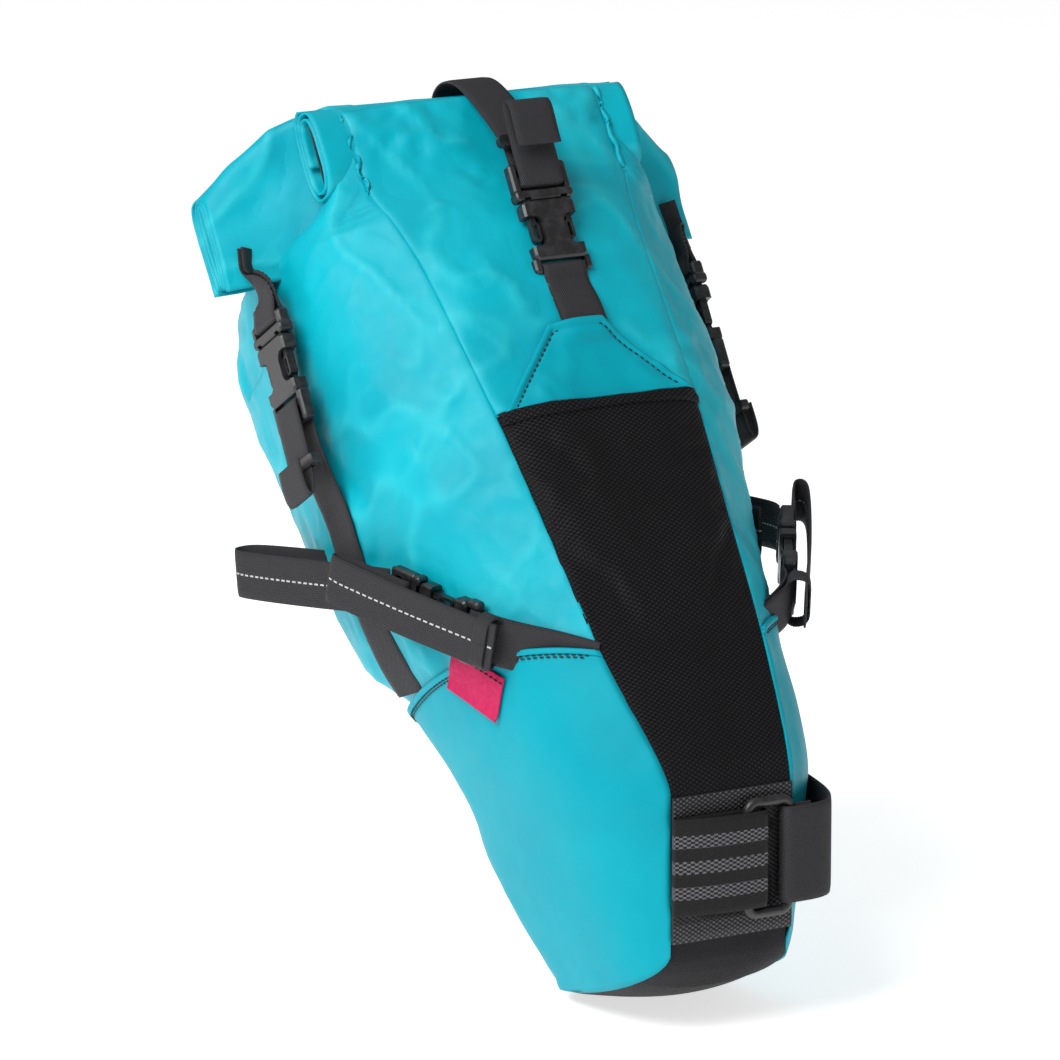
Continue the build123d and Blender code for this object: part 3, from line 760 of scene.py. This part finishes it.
def lay(points, out, tree, lift):
    """Points moved along out onto a surface, and lift above it."""
    points = np.asarray(points, float)
    out = unit(out)
    flat = points.reshape(-1, 3)
    lifts = np.broadcast_to(lift, points.shape[:-1]).ravel()
    laid = []
    last = 0.0
    for point, rise in zip(flat, lifts):
        hit = tree.ray_cast(Vector(point + out * REACH), Vector(-out))
        if hit[0] is not None:
            last = float((np.array(hit[0]) - point) @ out)
        laid.append(point + out * (last + rise))
    return np.array(laid).reshape(points.shape)


STITCH = 2.5
STITCH_GAP = 1.1
THREAD = 0.42


def stitch_row(name, line, out, body, thread, blend_up=False):
    """A row of topstitches along a line of points; each stitch is a short rounded stroke of thread."""
    line = np.asarray(line, float)
    length = arc_lengths(line[None], 1)[0]
    outs = np.broadcast_to(unit(out), line.shape)

    def at(distance):
        return (np.array([np.interp(distance, length, line[:, k]) for k in range(3)]),
                unit(np.array([np.interp(distance, length, outs[:, k]) for k in range(3)])))

    points = []
    faces = []
    profile = [(0, 0.25), (0.15, 0.8), (0.5, 1.0), (0.85, 0.8), (1, 0.25)]
    sides = 6
    start = 0.6
    while start + STITCH < length[-1]:
        low, up = at(start)
        high, _ = at(start + STITCH)
        side = unit(np.cross(high - low, up))
        first = len(points)
        for share, girth in profile:
            middle = low + (high - low) * share + up * THREAD * 0.6 * (girth - 0.4)
            for k in range(sides):
                angle = 2 * math.pi * k / sides
                points.append(middle + (side * math.cos(angle) + up * math.sin(angle)) * THREAD * girth)
        for ring in range(len(profile) - 1):
            for k in range(sides):
                a = first + ring * sides + k
                b = first + ring * sides + (k + 1) % sides
                faces.append((a, b, b + sides, a + sides))
        faces.append(tuple(first + k for k in reversed(range(sides))))
        faces.append(tuple(first + (len(profile) - 1) * sides + k for k in range(sides)))
        start += STITCH + STITCH_GAP
    obj = piece(name, points, faces, thread)
    if blend_up:
        stretch(obj)
    else:
        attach(obj, body)
    return obj


# ---------------------------------------------------------------- nose, wings, patch, label

WING_LIFT = 2.4
BOTTOM_DROP = 17.0


def bottom_drop(share):
    """How far the side's rounded bottom hangs below the lowest cross-section."""
    return BOTTOM_DROP * np.sin(math.pi * np.clip(share, 0, 1) ** 0.55) ** 0.6


def wing_grid(first, last, front_first):
    """The second layer over one side of the nose, from its rounded bottom to its arched top edge."""
    columns = np.linspace(first, last, 61)
    share = (columns - first) / (last - first)
    if not front_first:
        share = 1 - share
    top = WING_EDGE + 0.05 + 0.23 * np.sin(math.pi * share) ** 0.85
    base = resample(rest, columns, 1)
    normals = grid_normals(base)
    index_of = row_of(top)
    rows = []
    for step in np.linspace(0, 1, 60):
        row = []
        for k in range(len(columns)):
            at = np.array([step * index_of[k]])
            point = resample(base[:, k], at, 0)[0]
            normal = resample(normals[:, k], at, 0)[0]
            off = WING_LIFT * min(1, 6 * min(share[k], 1 - share[k]) + 0.35)
            stand = 5.0 * np.clip(share[k] - 0.55, 0, 1) * step ** 6
            row.append(point + normal * (off + stand))
        rows.append(row)
    grid = np.array(rows)
    drop = bottom_drop(share)
    narrow = 1 - 0.1 * drop / BOTTOM_DROP
    low = []
    for step in (1.0, 0.78, 0.52, 0.25):
        row = grid[0].copy()
        row[:, 2] -= drop * step
        row[:, 0] *= 1 + (narrow - 1) * step ** 1.5
        low.append(row)
    grid = np.concatenate([np.array(low), grid])
    near = seam_distance(grid)
    soft = noise(grid, 55, 21) * 1.1 + noise(grid, 24, 22) * 0.35
    along = arc_lengths(grid, 0)
    pucker = noise(np.stack([along, along * 0, grid[..., 0] * 0.02], -1), 11, 23) * np.exp(-near / 7)
    fade = 1 - np.exp(-near / 6)
    groove = 0.9 * np.exp(-(near / 1.8) ** 2)
    return grid + grid_normals(grid) * (soft * fade + 0.6 * pucker - groove)[..., None]


def make_wing(word, first, last, front_first):
    """One side's second layer of cloth by the nose, with its hem and stitching."""
    grid = wing_grid(first, last, front_first)
    obj = cloth_piece(f"wing_{word}_cloth", grid, TAUT, 1.2)
    declare(obj, "bag", "main_fabric", f"wing_{word}")
    normals = grid_normals(grid)
    top = grid[-1] + normals[-1] * 0.2
    down = unit(grid[-6] - grid[-1])
    fold = np.stack([top + down * 3.2 - normals[-1] * 0.2, top + down * 3.0 + normals[-1] * 0.8,
                     top + down * 0.6 + normals[-1] * 0.9, top - down * 0.3 + normals[-1] * 0.1,
                     top - down * 0.3 - normals[-1] * 1.6])
    fold = resample(fold, np.linspace(0, 4, 13), 0)
    hem = cloth_piece(f"wing_{word}_hem", fold, TAUT, 0.5)
    declare(hem, "bag", "main_fabric")
    for index, depth in enumerate((3.6, 5.2)):
        line = top + down * depth + normals[-1] * 0.25
        stitch_row(
            f"wing_{word}_stitch_{index}", line[2:-2], normals[-1][2:-2], "bag", BLACK_THREAD)
    return grid


wing_right = make_wing("right", SEAMS[1], SEAMS[2], True)
wing_left = make_wing("left", SEAMS[3], SEAMS[4], False)


def make_boot():
    """The black cloth under the nose: down the front, round the bottom and up the back."""
    right = wing_right[0]
    rows = row_of([NOSE_LOW, NOSE_MID])
    front = resample(rest[:, SEAMS[1]], np.linspace(row_of(0.5), 0, 5), 0)
    back = resample(rest[:, SEAMS[2]], np.linspace(*rows, 10), 0)
    edge = np.concatenate([front[:-1], right[1:-1], back[1:]])
    edge = resample(edge, np.linspace(0, len(edge) - 1, 110), 0)
    for _ in range(3):
        edge[1:-1] = (edge[:-2] + 2 * edge[1:-1] + edge[2:]) / 4
    across = np.linspace(1, -1, 41)
    tangent = np.gradient(edge, axis=0)
    out = unit(np.stack([tangent[:, 0] * 0, tangent[:, 2], -tangent[:, 1]], -1))
    length = arc_lengths(edge[None], 1)[0]
    bulge = 7.0 * np.clip((length - 25) / 30, 0, 1) ** 1.2
    inward = 1.2
    grid = np.stack([
        edge * vec(c, 1, 1) + out * (bulge * (1 - abs(c) ** 2.4) - inward * abs(c) ** 8)[:, None]
        for c in across], 1)
    grid = grid + grid_normals(grid) * (noise(grid, 26, 31) * 0.9)[..., None]
    obj = cloth_piece("nose_boot_cloth", grid, BOOT_CLOTH, 1.2)
    declare(obj, "bag", "wear_fabric", "nose_boot")


make_boot()

FRONT_TREE = surface_tree(*FRONT_GRIDS)
UP_FRONT = unit(vec(0, 207 - 137.5, 285 - 212.4))
OUT_FRONT = vec(0, -UP_FRONT[2], UP_FRONT[1])
PATCH_LOW = 56.0
PATCH_HIGH = 15.6
PATCH_LENGTH = 45.0


def make_patch():
    """The tapered patch under the centre closure, with a folded piped edge."""
    corner = vec(0, 137.5, 212.4)
    rows = np.linspace(0, 1, 49)
    columns = np.linspace(-1, 1, 65)
    half = PATCH_LOW + (PATCH_HIGH - PATCH_LOW) * rows
    flat_x = half[:, None] * columns
    flat_y = np.broadcast_to(rows[:, None] * PATCH_LENGTH, flat_x.shape)
    slope = math.cos(math.atan2(PATCH_LOW - PATCH_HIGH, PATCH_LENGTH))
    to_edge = np.minimum((half[:, None] - np.abs(flat_x)) * slope, PATCH_LENGTH - flat_y)
    pipe = 1.0 * np.exp(-((to_edge - 1.4) / 1.6) ** 4) - 0.5 * np.exp(-((to_edge - 4.2) / 0.9) ** 2)
    points = corner + flat_x[..., None] * vec(1, 0, 0) + flat_y[..., None] * UP_FRONT
    near_web = np.exp(-((flat_x - CENTRE_ORIGIN[0]) / 15) ** 4)
    over_web = near_web * np.clip((flat_y - PATCH_LENGTH + 14) / 6, 0, 1)
    grid = lay(points, OUT_FRONT, FRONT_TREE, 1.1 + pipe + 3.4 * over_web)
    obj = cloth_piece("closure_patch_cloth", grid, TAUT, 1.4, weave=np.stack([flat_x, flat_y], -1))
    declare(obj, "bag", "main_fabric", "closure_patch")
    inset = 4.3
    line = []
    stop = 1 - inset / PATCH_LENGTH
    for side, stops in ((-1, np.linspace(0.02, stop, 40)), (1, np.linspace(stop, 0.02, 40))):
        for r in stops:
            x = side * (PATCH_LOW + (PATCH_HIGH - PATCH_LOW) * r - inset / slope)
            line.append(corner + vec(x, 0, 0) + UP_FRONT * r * PATCH_LENGTH)
    line = lay(np.array(line), OUT_FRONT, surface_tree(grid), 0.25)
    stitch_row("closure_patch_stitch", line, OUT_FRONT, "bag", BLACK_THREAD)


make_patch()


def make_wear_hem():
    """The folded top edge of the wear panel."""
    edge = resample(shell, np.array([row_of(PANEL_TOP)]), 0)[0]
    line = resample(edge, np.linspace(SEAMS[0] + 0.15, SEAMS[1] - 0.15, 60), 0)
    down = -unit(vec(0, 137.5 - 93, 212.4 - 157))
    grid = []
    fold = ((-1.0, 0.2), (-0.8, 1.1), (0.6, 1.9), (3.0, 1.9), (5.2, 1.6), (6.0, 0.8), (6.2, 0.0))
    for depth, lift in fold:
        grid.append(lay(line + down * depth, OUT_FRONT, FRONT_TREE, lift))
    grid = resample(np.array(grid)[::-1], np.linspace(0, 6, 19), 0)
    obj = cloth_piece("wear_panel_hem", grid, BLACK_CLOTH, 0.4)
    declare(obj, "bag", "wear_fabric")


make_wear_hem()


def make_label():
    """The plain woven label, its top edge caught under the wing's stitching."""
    along = unit(vec(-0.12, 0.95, 0.27))
    out = vec(-0.987, -0.145, 0.061)
    out = unit(out - along * (out @ along))
    up = np.cross(out, along)
    up = up if up[2] > 0 else -up
    middle = vec(-80, 112.5, 80.5)
    a = np.linspace(-20, 20, 41)
    b = np.linspace(-13.5, 12, 27)
    flat = np.stack(np.meshgrid(a, b), -1)
    points = middle + flat[..., :1] * along + flat[..., 1:] * up
    curl = 1.5 * np.clip((-flat[..., 1] - 6) / 8, 0, 1) ** 2 + 0.25 * noise(points, 12, 41)
    grid = lay(points, out, surface_tree(wing_left), 1.7 + curl)
    if (grid_normals(grid)[13, 20] @ out) < 0:
        grid = grid[:, ::-1]
    obj = cloth_piece("side_label_cloth", grid, LABEL_CLOTH, 0.6)
    declare(obj, "bag", "label", "side_label")
    line = lay(middle + a[:, None] * along + 8.6 * up, out, surface_tree(grid), 0.2)
    stitch_row("side_label_stitch", line, out, "bag", BLACK_THREAD)


make_label()


# ---------------------------------------------------------------- webbing

def rounded(points, across, rounds=3):
    """A path with its corners cut, and the width directions turned along with it."""
    both = np.concatenate([np.asarray(points, float), np.asarray(across, float)], 1)
    for _ in range(rounds):
        early = both[:-1] * 0.75 + both[1:] * 0.25
        late = both[:-1] * 0.25 + both[1:] * 0.75
        cut = np.stack([early, late], 1).reshape(-1, 6)
        both = np.concatenate([both[:1], cut, both[-1:]])
    return both[:, :3], both[:, 3:]


RIB = 1.3
RIB_RISE = 0.17


def webbing(name, points, across, cloth, width=WEBBING_WIDTH, thickness=WEBBING, start=0.0):
    """A flat strap with real cross ribs along a path; across points along its width."""
    points, across = rounded(points, across)
    length = arc_lengths(points[None], 1)[0]
    count = max(int(length[-1] / (RIB / 2)), 8)
    at = np.linspace(0, length[-1], count)
    middle = np.stack([np.interp(at, length, points[:, k]) for k in range(3)], -1)
    side = np.stack([np.interp(at, length, across[:, k]) for k in range(3)], -1)
    tangent = unit(np.gradient(middle, axis=0))
    side = unit(side - tangent * np.sum(side * tangent, -1, keepdims=True))
    normal = np.cross(tangent, side)
    rib = np.where(np.arange(count) % 2, RIB_RISE, -RIB_RISE)
    spread = np.linspace(-1, 1, 9 if width < 30 else 17)
    profile = [(s, 1 - 0.45 * abs(s) ** 12) for s in spread]
    profile += [(s, -h) for s, h in profile[::-1]]
    rings = []
    weave = []
    for s, h in profile:
        edge = (width / 2 + rib * 0.6) * s
        rise = h * (thickness / 2 + rib)
        rings.append(middle + side * edge[:, None] + normal * rise[:, None])
        weave.append(np.stack([np.full(count, s * width / 2), at + start], -1))
    rings = np.stack(rings, 1)
    weave = np.stack(weave, 1)
    around = len(profile)
    index = np.arange(count * around).reshape(count, around)
    nxt = np.roll(index, -1, axis=1)
    faces = np.stack([index[:-1], index[1:], nxt[1:], nxt[:-1]], -1).reshape(-1, 4).tolist()
    faces.append(index[0].tolist())
    faces.append(index[-1][::-1].tolist())
    return piece(name, rings.reshape(-1, 3), faces, cloth, weave.reshape(-1, 2))


Frame = namedtuple("Frame", "origin along across out")


def frame_at(origin, along, outward):
    """A local frame: along, outward, and across the strap."""
    along = unit(along)
    outward = np.asarray(outward, float)
    out = unit(outward - along * (outward @ along))
    return Frame(np.asarray(origin, float), along, np.cross(out, along), out)


def local(f, x, z, y=0.0):
    return f.origin + f.along * x + f.across * y + f.out * z


def flat_strap(name, f, path, cloth, node, body, slot="webbing", **sizes):
    """A strap whose path lies in a frame's own along and outward plane."""
    points = [local(f, x, z) for x, z in path]
    obj = webbing(name, points, [f.across] * len(points), cloth, **sizes)
    declare(obj, body, slot, node)
    return obj


def bar_loop(bar, reach_under, reach_over, direction=-1, drop_under=0.0, drop_over=0.0):
    """A strap under a buckle's bar, round it and back over."""
    wrap = 3.1
    far = bar - direction * wrap
    near = bar + direction * 2.5 * wrap
    return [
        (bar + direction * reach_under, -1.0 - drop_under), (near, -1.0), (bar, -wrap), (far, -wrap),
        (far, wrap), (bar, wrap), (near, 1.0), (bar + direction * reach_over, 1.0 - drop_over)]


PLAIN_BAR = -5.2
LADDER_BAR = -13.6
MALE_PLAIN_BAR = 44.2
MALE_INNER_BAR = 44.2
MALE_LADDER_BAR = 52.6


def ladder_wrap(inner, outer, side):
    """A strap from under the outer bar, round the inner bar and back over both."""
    beyond = outer + side * 5
    far = inner - side * 3.0
    return [
        (beyond, -2.7), (outer, -2.9), (inner + side * 3, -4.2), (far, -4.2), (far, 4.2),
        (inner + side * 3, 4.3), (outer, 4.4)]


SIDE_ORIGIN = vec(126, 237.7, 209.5)
EAR_MOUTH = vec(124, 279, 264.5)
IN_EAR = vec(122, 286, 280)
LAYER_GAP = 1.2
STRAP_LIFT = 1.6


def make_centre_straps():
    """The centre closure's anchor web, and its strap over the roll."""
    f = frame_at(CENTRE_ORIGIN, SLIDE, (0, -1, 0))
    loop = [local(f, x, z) for x, z in bar_loop(PLAIN_BAR, 44, 44)[1:-1]]
    feet = np.array([local(f, PLAIN_BAR - reach, 0) for reach in (37, 29, 20)])
    under = list(lay(feet, f.out, FRONT_TREE, 0.9))
    over = list(lay(feet[::-1], f.out, FRONT_TREE, 2.4))
    path = under + loop + over
    obj = webbing("centre_anchor_webbing", path, [f.across] * len(path), WEB)
    declare(obj, "bag", "webbing", "centre_anchor_web")
    bar = MALE_LADDER_BAR
    tail = ladder_wrap(MALE_INNER_BAR, bar, 1) + [
        (bar + 12, 4.6), (bar + 25, 5.4), (bar + 33, 7.5), (bar + 34, 11), (bar + 29, 13.6),
        (bar + 16, 12.6), (bar + 8, 12.4)]
    flat_strap("centre_tail_webbing", f, tail, WEB, "centre_tail", "centre_plug")
    start = local(f, bar + 4.5, -2.7)
    path = [
        start, local(f, bar + 16, -3.6), vec(6, 262, 356.5), vec(6, 282, 361.5), vec(6, 297, 355),
        vec(6, 302, 342), vec(6, 292, 318), vec(6, 277, 304)]
    obj = webbing("centre_strap_webbing", path, [f.across] * len(path), WEB)
    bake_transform(obj)
    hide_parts("centre_strap")


def make_side_straps(side, word):
    """One side closure's web from the ear, and its long strap down to the wing."""
    f = frame_at(mirrored(SIDE_ORIGIN, side), SLIDE, (side, 0, 0))
    name = f"{word}_closure"
    loop = [local(f, x, z) for x, z in bar_loop(MALE_PLAIN_BAR, 16, 12, direction=1)]
    turned = unit(f.across * 0.6 + vec(1, 0, 0))
    apart = unit(np.cross(SLIDE, turned)) * LAYER_GAP
    mouth, deep = mirrored(EAR_MOUTH, side), mirrored(IN_EAR, side)
    inside = [deep - apart, mouth - apart]
    outside = [mouth + apart, deep + apart]
    path = inside + loop + outside
    widths = [turned, turned] + [f.across] * len(loop) + [turned, turned]
    obj = webbing(f"{name}_ear_webbing", path, widths, WEB)
    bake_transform(obj)
    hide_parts(f"{name}_ear_web")

    bar = LADDER_BAR
    tail = ladder_wrap(PLAIN_BAR, bar, -1) + [
        (bar - 14, 4.6), (bar - 30, 5.2), (bar - 40, 6.6), (bar - 42, 9.6), (bar - 36, 11.6),
        (bar - 22, 11.2)]
    flat_strap(f"{name}_tail_webbing", f, tail, WEB, f"{name}_tail", "bag")
    top = local(f, bar - 4.5, -2.7)
    foot = vec(side * 85, 179, 60)
    bend = local(f, bar - 20, -3.2)
    straight = np.array([bend + (foot - bend) * share for share in np.linspace(0, 1, 9)[1:]])
    laid = lay(straight, vec(side, 0, 0), surface_tree(SIDE_GRIDS[word]), STRAP_LIFT)
    straight[:, 0] = side * np.maximum(np.abs(straight[:, 0]), np.abs(laid[:, 0]))
    path = [top, bend] + list(straight)
    obj = webbing(f"{name}_strap_webbing", path, [f.across] * len(path), WEB)
    declare(obj, "bag", "webbing", f"{name}_strap")


RAIL_BASE = vec(70.5, 82.6, 103.3)
RAIL_ALONG = {"left": vec(-0.31, 0.935, 0.175), "right": vec(0.48, 0.83, 0.28)}
LOOP_ALONG = {"left": vec(-0.245, 0.966, -0.085), "right": vec(0.06, 0.99, -0.12)}


def rail_frame(side, word):
    out = vec(side * 0.9, -0.43, 0)
    base = frame_at(mirrored(RAIL_BASE, side), RAIL_ALONG[word], out)
    return frame_at(local(base, 34, 12), RAIL_ALONG[word], out)


def make_rail_straps(side, word):
    """One saddle-rail strap's anchor web, tail and rail loop."""
    f = rail_frame(side, word)
    name = f"{word}_rail"
    anchor = [
        (-66, -24), (-46, -17), (-30, -7.5), *bar_loop(PLAIN_BAR, 16, 16)[1:-1],
        (-24, -1.5), (-36, -9), (-50, -17), (-68, -24)]
    flat_strap(f"{name}_anchor_webbing", f, anchor, WEB, f"{name}_anchor_web", "bag")
    bar = MALE_LADDER_BAR
    tail = ladder_wrap(MALE_INNER_BAR, bar, 1) + [
        (bar + 14, 4.6), (bar + 28, 4.4), (bar + 36, 5.6), (bar + 37, 10), (bar + 30, 12.6),
        (bar + 6, 12.8), (20, 11.6), (0, 10.0), (-25, 8.2)]
    flat_strap(f"{name}_tail_webbing", f, tail, TRACER_WEB, f"{name}_tail", f"{name}_plug")
    out = vec(side * 0.9, -0.43, 0)
    start = local(f, bar + 4.5, -2.7)
    g = frame_at(local(f, bar + 7.2, -0.4), LOOP_ALONG[word], out)
    loop = [
        (12, -0.6), (59, 2.5), (104, 2), (117.5, -2), (118, -13), (106, -17.5), (60, -21), (20, -23),
        (-14, -22)]
    path = [start] + [local(g, x, z) for x, z in loop]
    widths = [f.across] + [g.across] * (len(path) - 1)
    obj = webbing(f"{name}_loop_webbing", path, widths, TRACER_WEB)
    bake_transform(obj)
    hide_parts(f"{name}_loop")
    make_elastic(name, f)


def make_elastic(name, f):
    """The elastic band that holds the rail strap's tail: a flat loop round both layers."""
    half = WEBBING_WIDTH / 2 + 1.3
    low, high = -3.1, 10.4
    centre = -16.5
    corners = [(0, high), (half, high), (half, low), (-half, low), (-half, high), (0, high)]
    points = [local(f, centre, z, y) for y, z in corners]
    across = [f.along] * len(points)
    obj = webbing(f"{name}_keeper_elastic", points, across, ELASTIC, width=9.5, thickness=1.2)
    declare(obj, "bag", "elastic", f"{name}_keeper")


def make_seatpost_straps():
    f = frame_at((0, 0, 2.3), (1, 0, 0), (0, -1, 0))
    grip = [(-36.5, 1.0), (6, 1.0), (15.4, 1.2), (15.6, 9.0), (9, 9.4), (-8, 9.0), (-24, 6.6), (-36.8, 2.6)]
    flat_strap("seatpost_grip_webbing", f, grip, GRIP_WEB, "seatpost_grip_strap", "bag", "grip_webbing",
               width=GRIP_WIDTH, thickness=1.6)
    base = [(45.5, 1.0), (32, 1.2)]
    flat_strap("hook_strap_base_webbing", f, base, WEB, "hook_strap_base", "bag", width=GRIP_WIDTH - 2)
    tail = [
        (34.7, 1.9), (25.6, 1.7), (25.2, 9.2), (32, 9.7), (46, 9.3), (56, 4), (63, -10), (68, -30),
        (72, -53)]
    flat_strap("hook_strap_tail_webbing", f, tail, WEB, "hook_strap_tail", "hook_strap", width=GRIP_WIDTH)


def make_nose_pad():
    """The thick webbing pad on the nose; the grey rows near its edges are in its material."""
    f = frame_at((0, 1.0, -0.5), (1, 0, 0), (0, -1, 0))
    path = [(-35.5, 0), (-20, 0), (0, 0), (20, 0), (35.5, 0)]
    obj = flat_strap("nose_pad_webbing", f, path, PAD_WEB, "nose_pad", "bag", width=77, thickness=1.9)


make_centre_straps()
for side, word in ((-1, "left"), (1, "right")):
    make_side_straps(side, word)
    make_rail_straps(side, word)
make_seatpost_straps()
make_nose_pad()


# ---------------------------------------------------------------- roll-top

ROLL_HALF = 95


def make_roll():
    """The rolled mouth: two and a quarter turns of cloth, flattened."""
    middle = vec(0, 270.5, 331)
    turns = np.linspace(0, 2.25, 190)
    angle = 2 * math.pi * turns + math.radians(100)
    thick = 14.0 - 3.2 * turns
    tall = 26.5 - 3.2 * turns
    power = 0.75
    back = thick * np.sign(-np.cos(angle)) * np.abs(np.cos(angle)) ** power
    up = tall * np.sign(np.sin(angle)) * np.abs(np.sin(angle)) ** power
    x = np.linspace(-ROLL_HALF, ROLL_HALF, 60)
    line = middle + back[:, None] * SLIDE_BACK + up[:, None] * SLIDE
    grid = np.stack([line + vec(v, 0, 0) for v in x], 1)
    normals = grid_normals(grid)
    centre = middle
    flip = np.sign(np.sum((grid - centre) * normals, -1).mean())
    swell = noise(grid, 30, 51) * 1.0 + noise(grid, 13, 52) * 0.35
    grid = grid + normals * flip * swell[..., None]
    if flip < 0:
        grid = grid[:, ::-1]
    ridge = creases(grid, 22, 53)
    obj = cloth_piece("roll_cloth", grid, NYLON, 0.9, extra={"crease": ridge})
    declare(obj, "rolltop", "main_fabric", "roll")


# The right ear's front lower edge and its crest, from behind the front panel outwards
EAR_LOWER_EDGE = np.array([
    [62, 259, 291], [80, 263, 284], [95, 266, 273], [109, 269.5, 267.5], [125, 274, 264],
    [141.5, 278, 262]], float)
EAR_CREST = np.array([
    [60, 278, 357], [76, 281, 357], [92, 291, 350], [109, 298.5, 340], [126, 304, 325],
    [141.5, 308, 308.5]], float)
# Each layer's inset, its thickness at the inner and outer ends, and the share it starts at
EAR_LAYERS = ((0, 25, 17, 0.0), (3.0, 24, 16, 0.48), (5.6, 23, 15, 0.6))


def ear_sheet(side, inset, thick_in, thick_out, start):
    """One inverted-U layer of an ear, drooping from the ridge to its open lower edge."""
    s = np.linspace(start, 1, 34)
    low = resample(EAR_LOWER_EDGE, s * (len(EAR_LOWER_EDGE) - 1), 0)
    top = resample(EAR_CREST, s * (len(EAR_CREST) - 1), 0)
    columns = []
    for k, share in enumerate(s):
        height = (top[k] - low[k]) @ SLIDE
        lean_back = (top[k] - low[k]) @ SLIDE_BACK
        thick = thick_in + (thick_out - thick_in) * share
        front_half = [(0, 0), (-1.6, 0.3), (-1.2, 0.7), (lean_back * 0.6 - 0.5, 0.93)]
        crest = [(lean_back + thick * 0.4, 1.0)]
        back_half = [
            (lean_back * 0.6 + thick * 0.95, 0.9), (thick + 0.5, 0.6), (thick - 1, 0.25), (thick - 2, 0.04)]
        path = []
        for half, inward in ((front_half, inset), (crest, 0), (back_half, -inset)):
            for b, h in half:
                rise = h * (height - inset) + inset * 0.6
                path.append(low[k] + SLIDE_BACK * (b + inward) + SLIDE * rise)
        path, _ = rounded(path, path, 3)
        length = arc_lengths(path[None], 1)[0]
        at = np.linspace(0, length[-1], 60)
        columns.append(np.stack([np.interp(at, length, path[:, j]) for j in range(3)], -1))
    grid = np.stack(columns, 1)
    grid[..., 0] *= side
    if side < 0:
        grid = grid[:, ::-1]
    return grid


def make_ear(side, word):
    """One end of the roll, as layers of cloth folded over each other."""
    for layer, sizes in enumerate(EAR_LAYERS):
        grid = ear_sheet(side, *sizes)
        normals = grid_normals(grid)
        if layer == 0:
            swell = noise(grid, 30, 61) * 2.0 + noise(grid, 14, 62) * 0.7
            ridge = creases(grid, 24, 63)
            grid = grid + normals * (swell + ridge * 1.2)[..., None]
        else:
            ridge = creases(grid, 24, 63)
        name = f"ear_{word}_cloth" if layer == 0 else f"ear_{word}_layer_{layer}"
        obj = cloth_piece(name, grid, NYLON, 1.0, extra={"crease": ridge})
        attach(obj, "rolltop")
        if layer == 0:
            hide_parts(f"ear_{word}")


make_roll()
for side, word in ((-1, "left"), (1, "right")):
    make_ear(side, word)


# ---------------------------------------------------------------- hard parts

EDGE_SOFTEN = 0.45


def finish_hard_parts():
    """The moulded and wire parts keep their CAD shape, with softened edges and a moulded finish."""
    for name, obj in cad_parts.items():
        if name.endswith("stiffener"):
            cloth = SHEET
        elif any(word in name for word in ("female", "male", "prong", "ring", "keeper")):
            cloth = PLASTIC
        else:
            continue
        obj.data.materials.clear()
        obj.data.materials.append(cloth)
        if cloth is PLASTIC:
            soften = obj.modifiers.new("softened_edges", "BEVEL")
            soften.width = EDGE_SOFTEN * MM
            soften.segments = 2
            soften.limit_method = "ANGLE"
            soften.angle_limit = math.radians(35)


finish_hard_parts()


# ---------------------------------------------------------------- studio

# The studio is in metres. Each light has its name, place, width and power in watts.
FLOOR_HALF = 20
WORLD_LIGHT = 0.24
LIGHT_AIM = Vector((0, 0.17, 0.15))
LIGHTS = (
    ("key", (-1.9, -0.4, 2.15), 1.7, 84),
    ("fill", (1.8, -1.2, 0.9), 1.4, 2),
    ("top", (0.1, 0.6, 2.2), 1.6, 4),
)


def area_light(name, place, size, power):
    """A square light, size across, turned towards the bag."""
    data = bpy.data.lights.new(name, "AREA")
    data.shape = "RECTANGLE"
    data.size = size
    data.size_y = size
    data.energy = power
    obj = bpy.data.objects.new(name, data)
    bpy.context.scene.collection.objects.link(obj)
    obj.location = place
    obj.rotation_euler = (LIGHT_AIM - Vector(place)).to_track_quat("-Z", "Y").to_euler()


def make_studio():
    """The floor under the lowest point, the even light all round and the lamps."""
    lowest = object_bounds()[0][2]
    mesh = bpy.data.meshes.new("studio_floor")
    signs = ((-1, -1), (1, -1), (1, 1), (-1, 1))
    corners = [(x * FLOOR_HALF, y * FLOOR_HALF, lowest) for x, y in signs]
    mesh.from_pydata(corners, [], [(0, 1, 2, 3)])
    mesh.materials.append(floor_material())
    floor = bpy.data.objects.new("studio_floor", mesh)
    bpy.context.scene.collection.objects.link(floor)
    world = bpy.data.worlds.new("studio")
    bpy.context.scene.world = world
    world.use_nodes = True
    world.node_tree.nodes["Background"].inputs[0].default_value = (1, 1, 1, 1)
    world.node_tree.nodes["Background"].inputs[1].default_value = WORLD_LIGHT
    for light in LIGHTS:
        area_light(*light)


AZIMUTH = math.radians(-30)
ELEVATION = math.radians(13.2)
VIEW_CENTRE = Vector((0, 0.2068, 0.1316))
CAMERA_DISTANCE = 4.0
# The sensor's width is in millimetres
SENSOR = 36
FRAME_HEIGHT = 0.548
# FRAME_HEIGHT is the view's height on a plane this much nearer the camera than VIEW_CENTRE
NEARER = 0.081


def make_camera():
    """The view the bag is shown from, in front of it, to its left and above."""
    data = bpy.data.cameras.new("camera")
    data.sensor_width = SENSOR
    data.lens = SENSOR * CAMERA_DISTANCE / FRAME_HEIGHT
    data.clip_end = 100
    camera = bpy.data.objects.new("camera", data)
    bpy.context.scene.collection.objects.link(camera)
    back = Vector((math.sin(AZIMUTH) * math.cos(ELEVATION), -math.cos(AZIMUTH) * math.cos(ELEVATION),
                   math.sin(ELEVATION)))
    camera.location = VIEW_CENTRE + back * (CAMERA_DISTANCE + NEARER)
    camera.rotation_euler = (-back).to_track_quat("-Z", "Y").to_euler()
    bpy.context.scene.camera = camera


make_studio()
make_camera()
bpy.context.scene.view_settings.view_transform = "Standard"
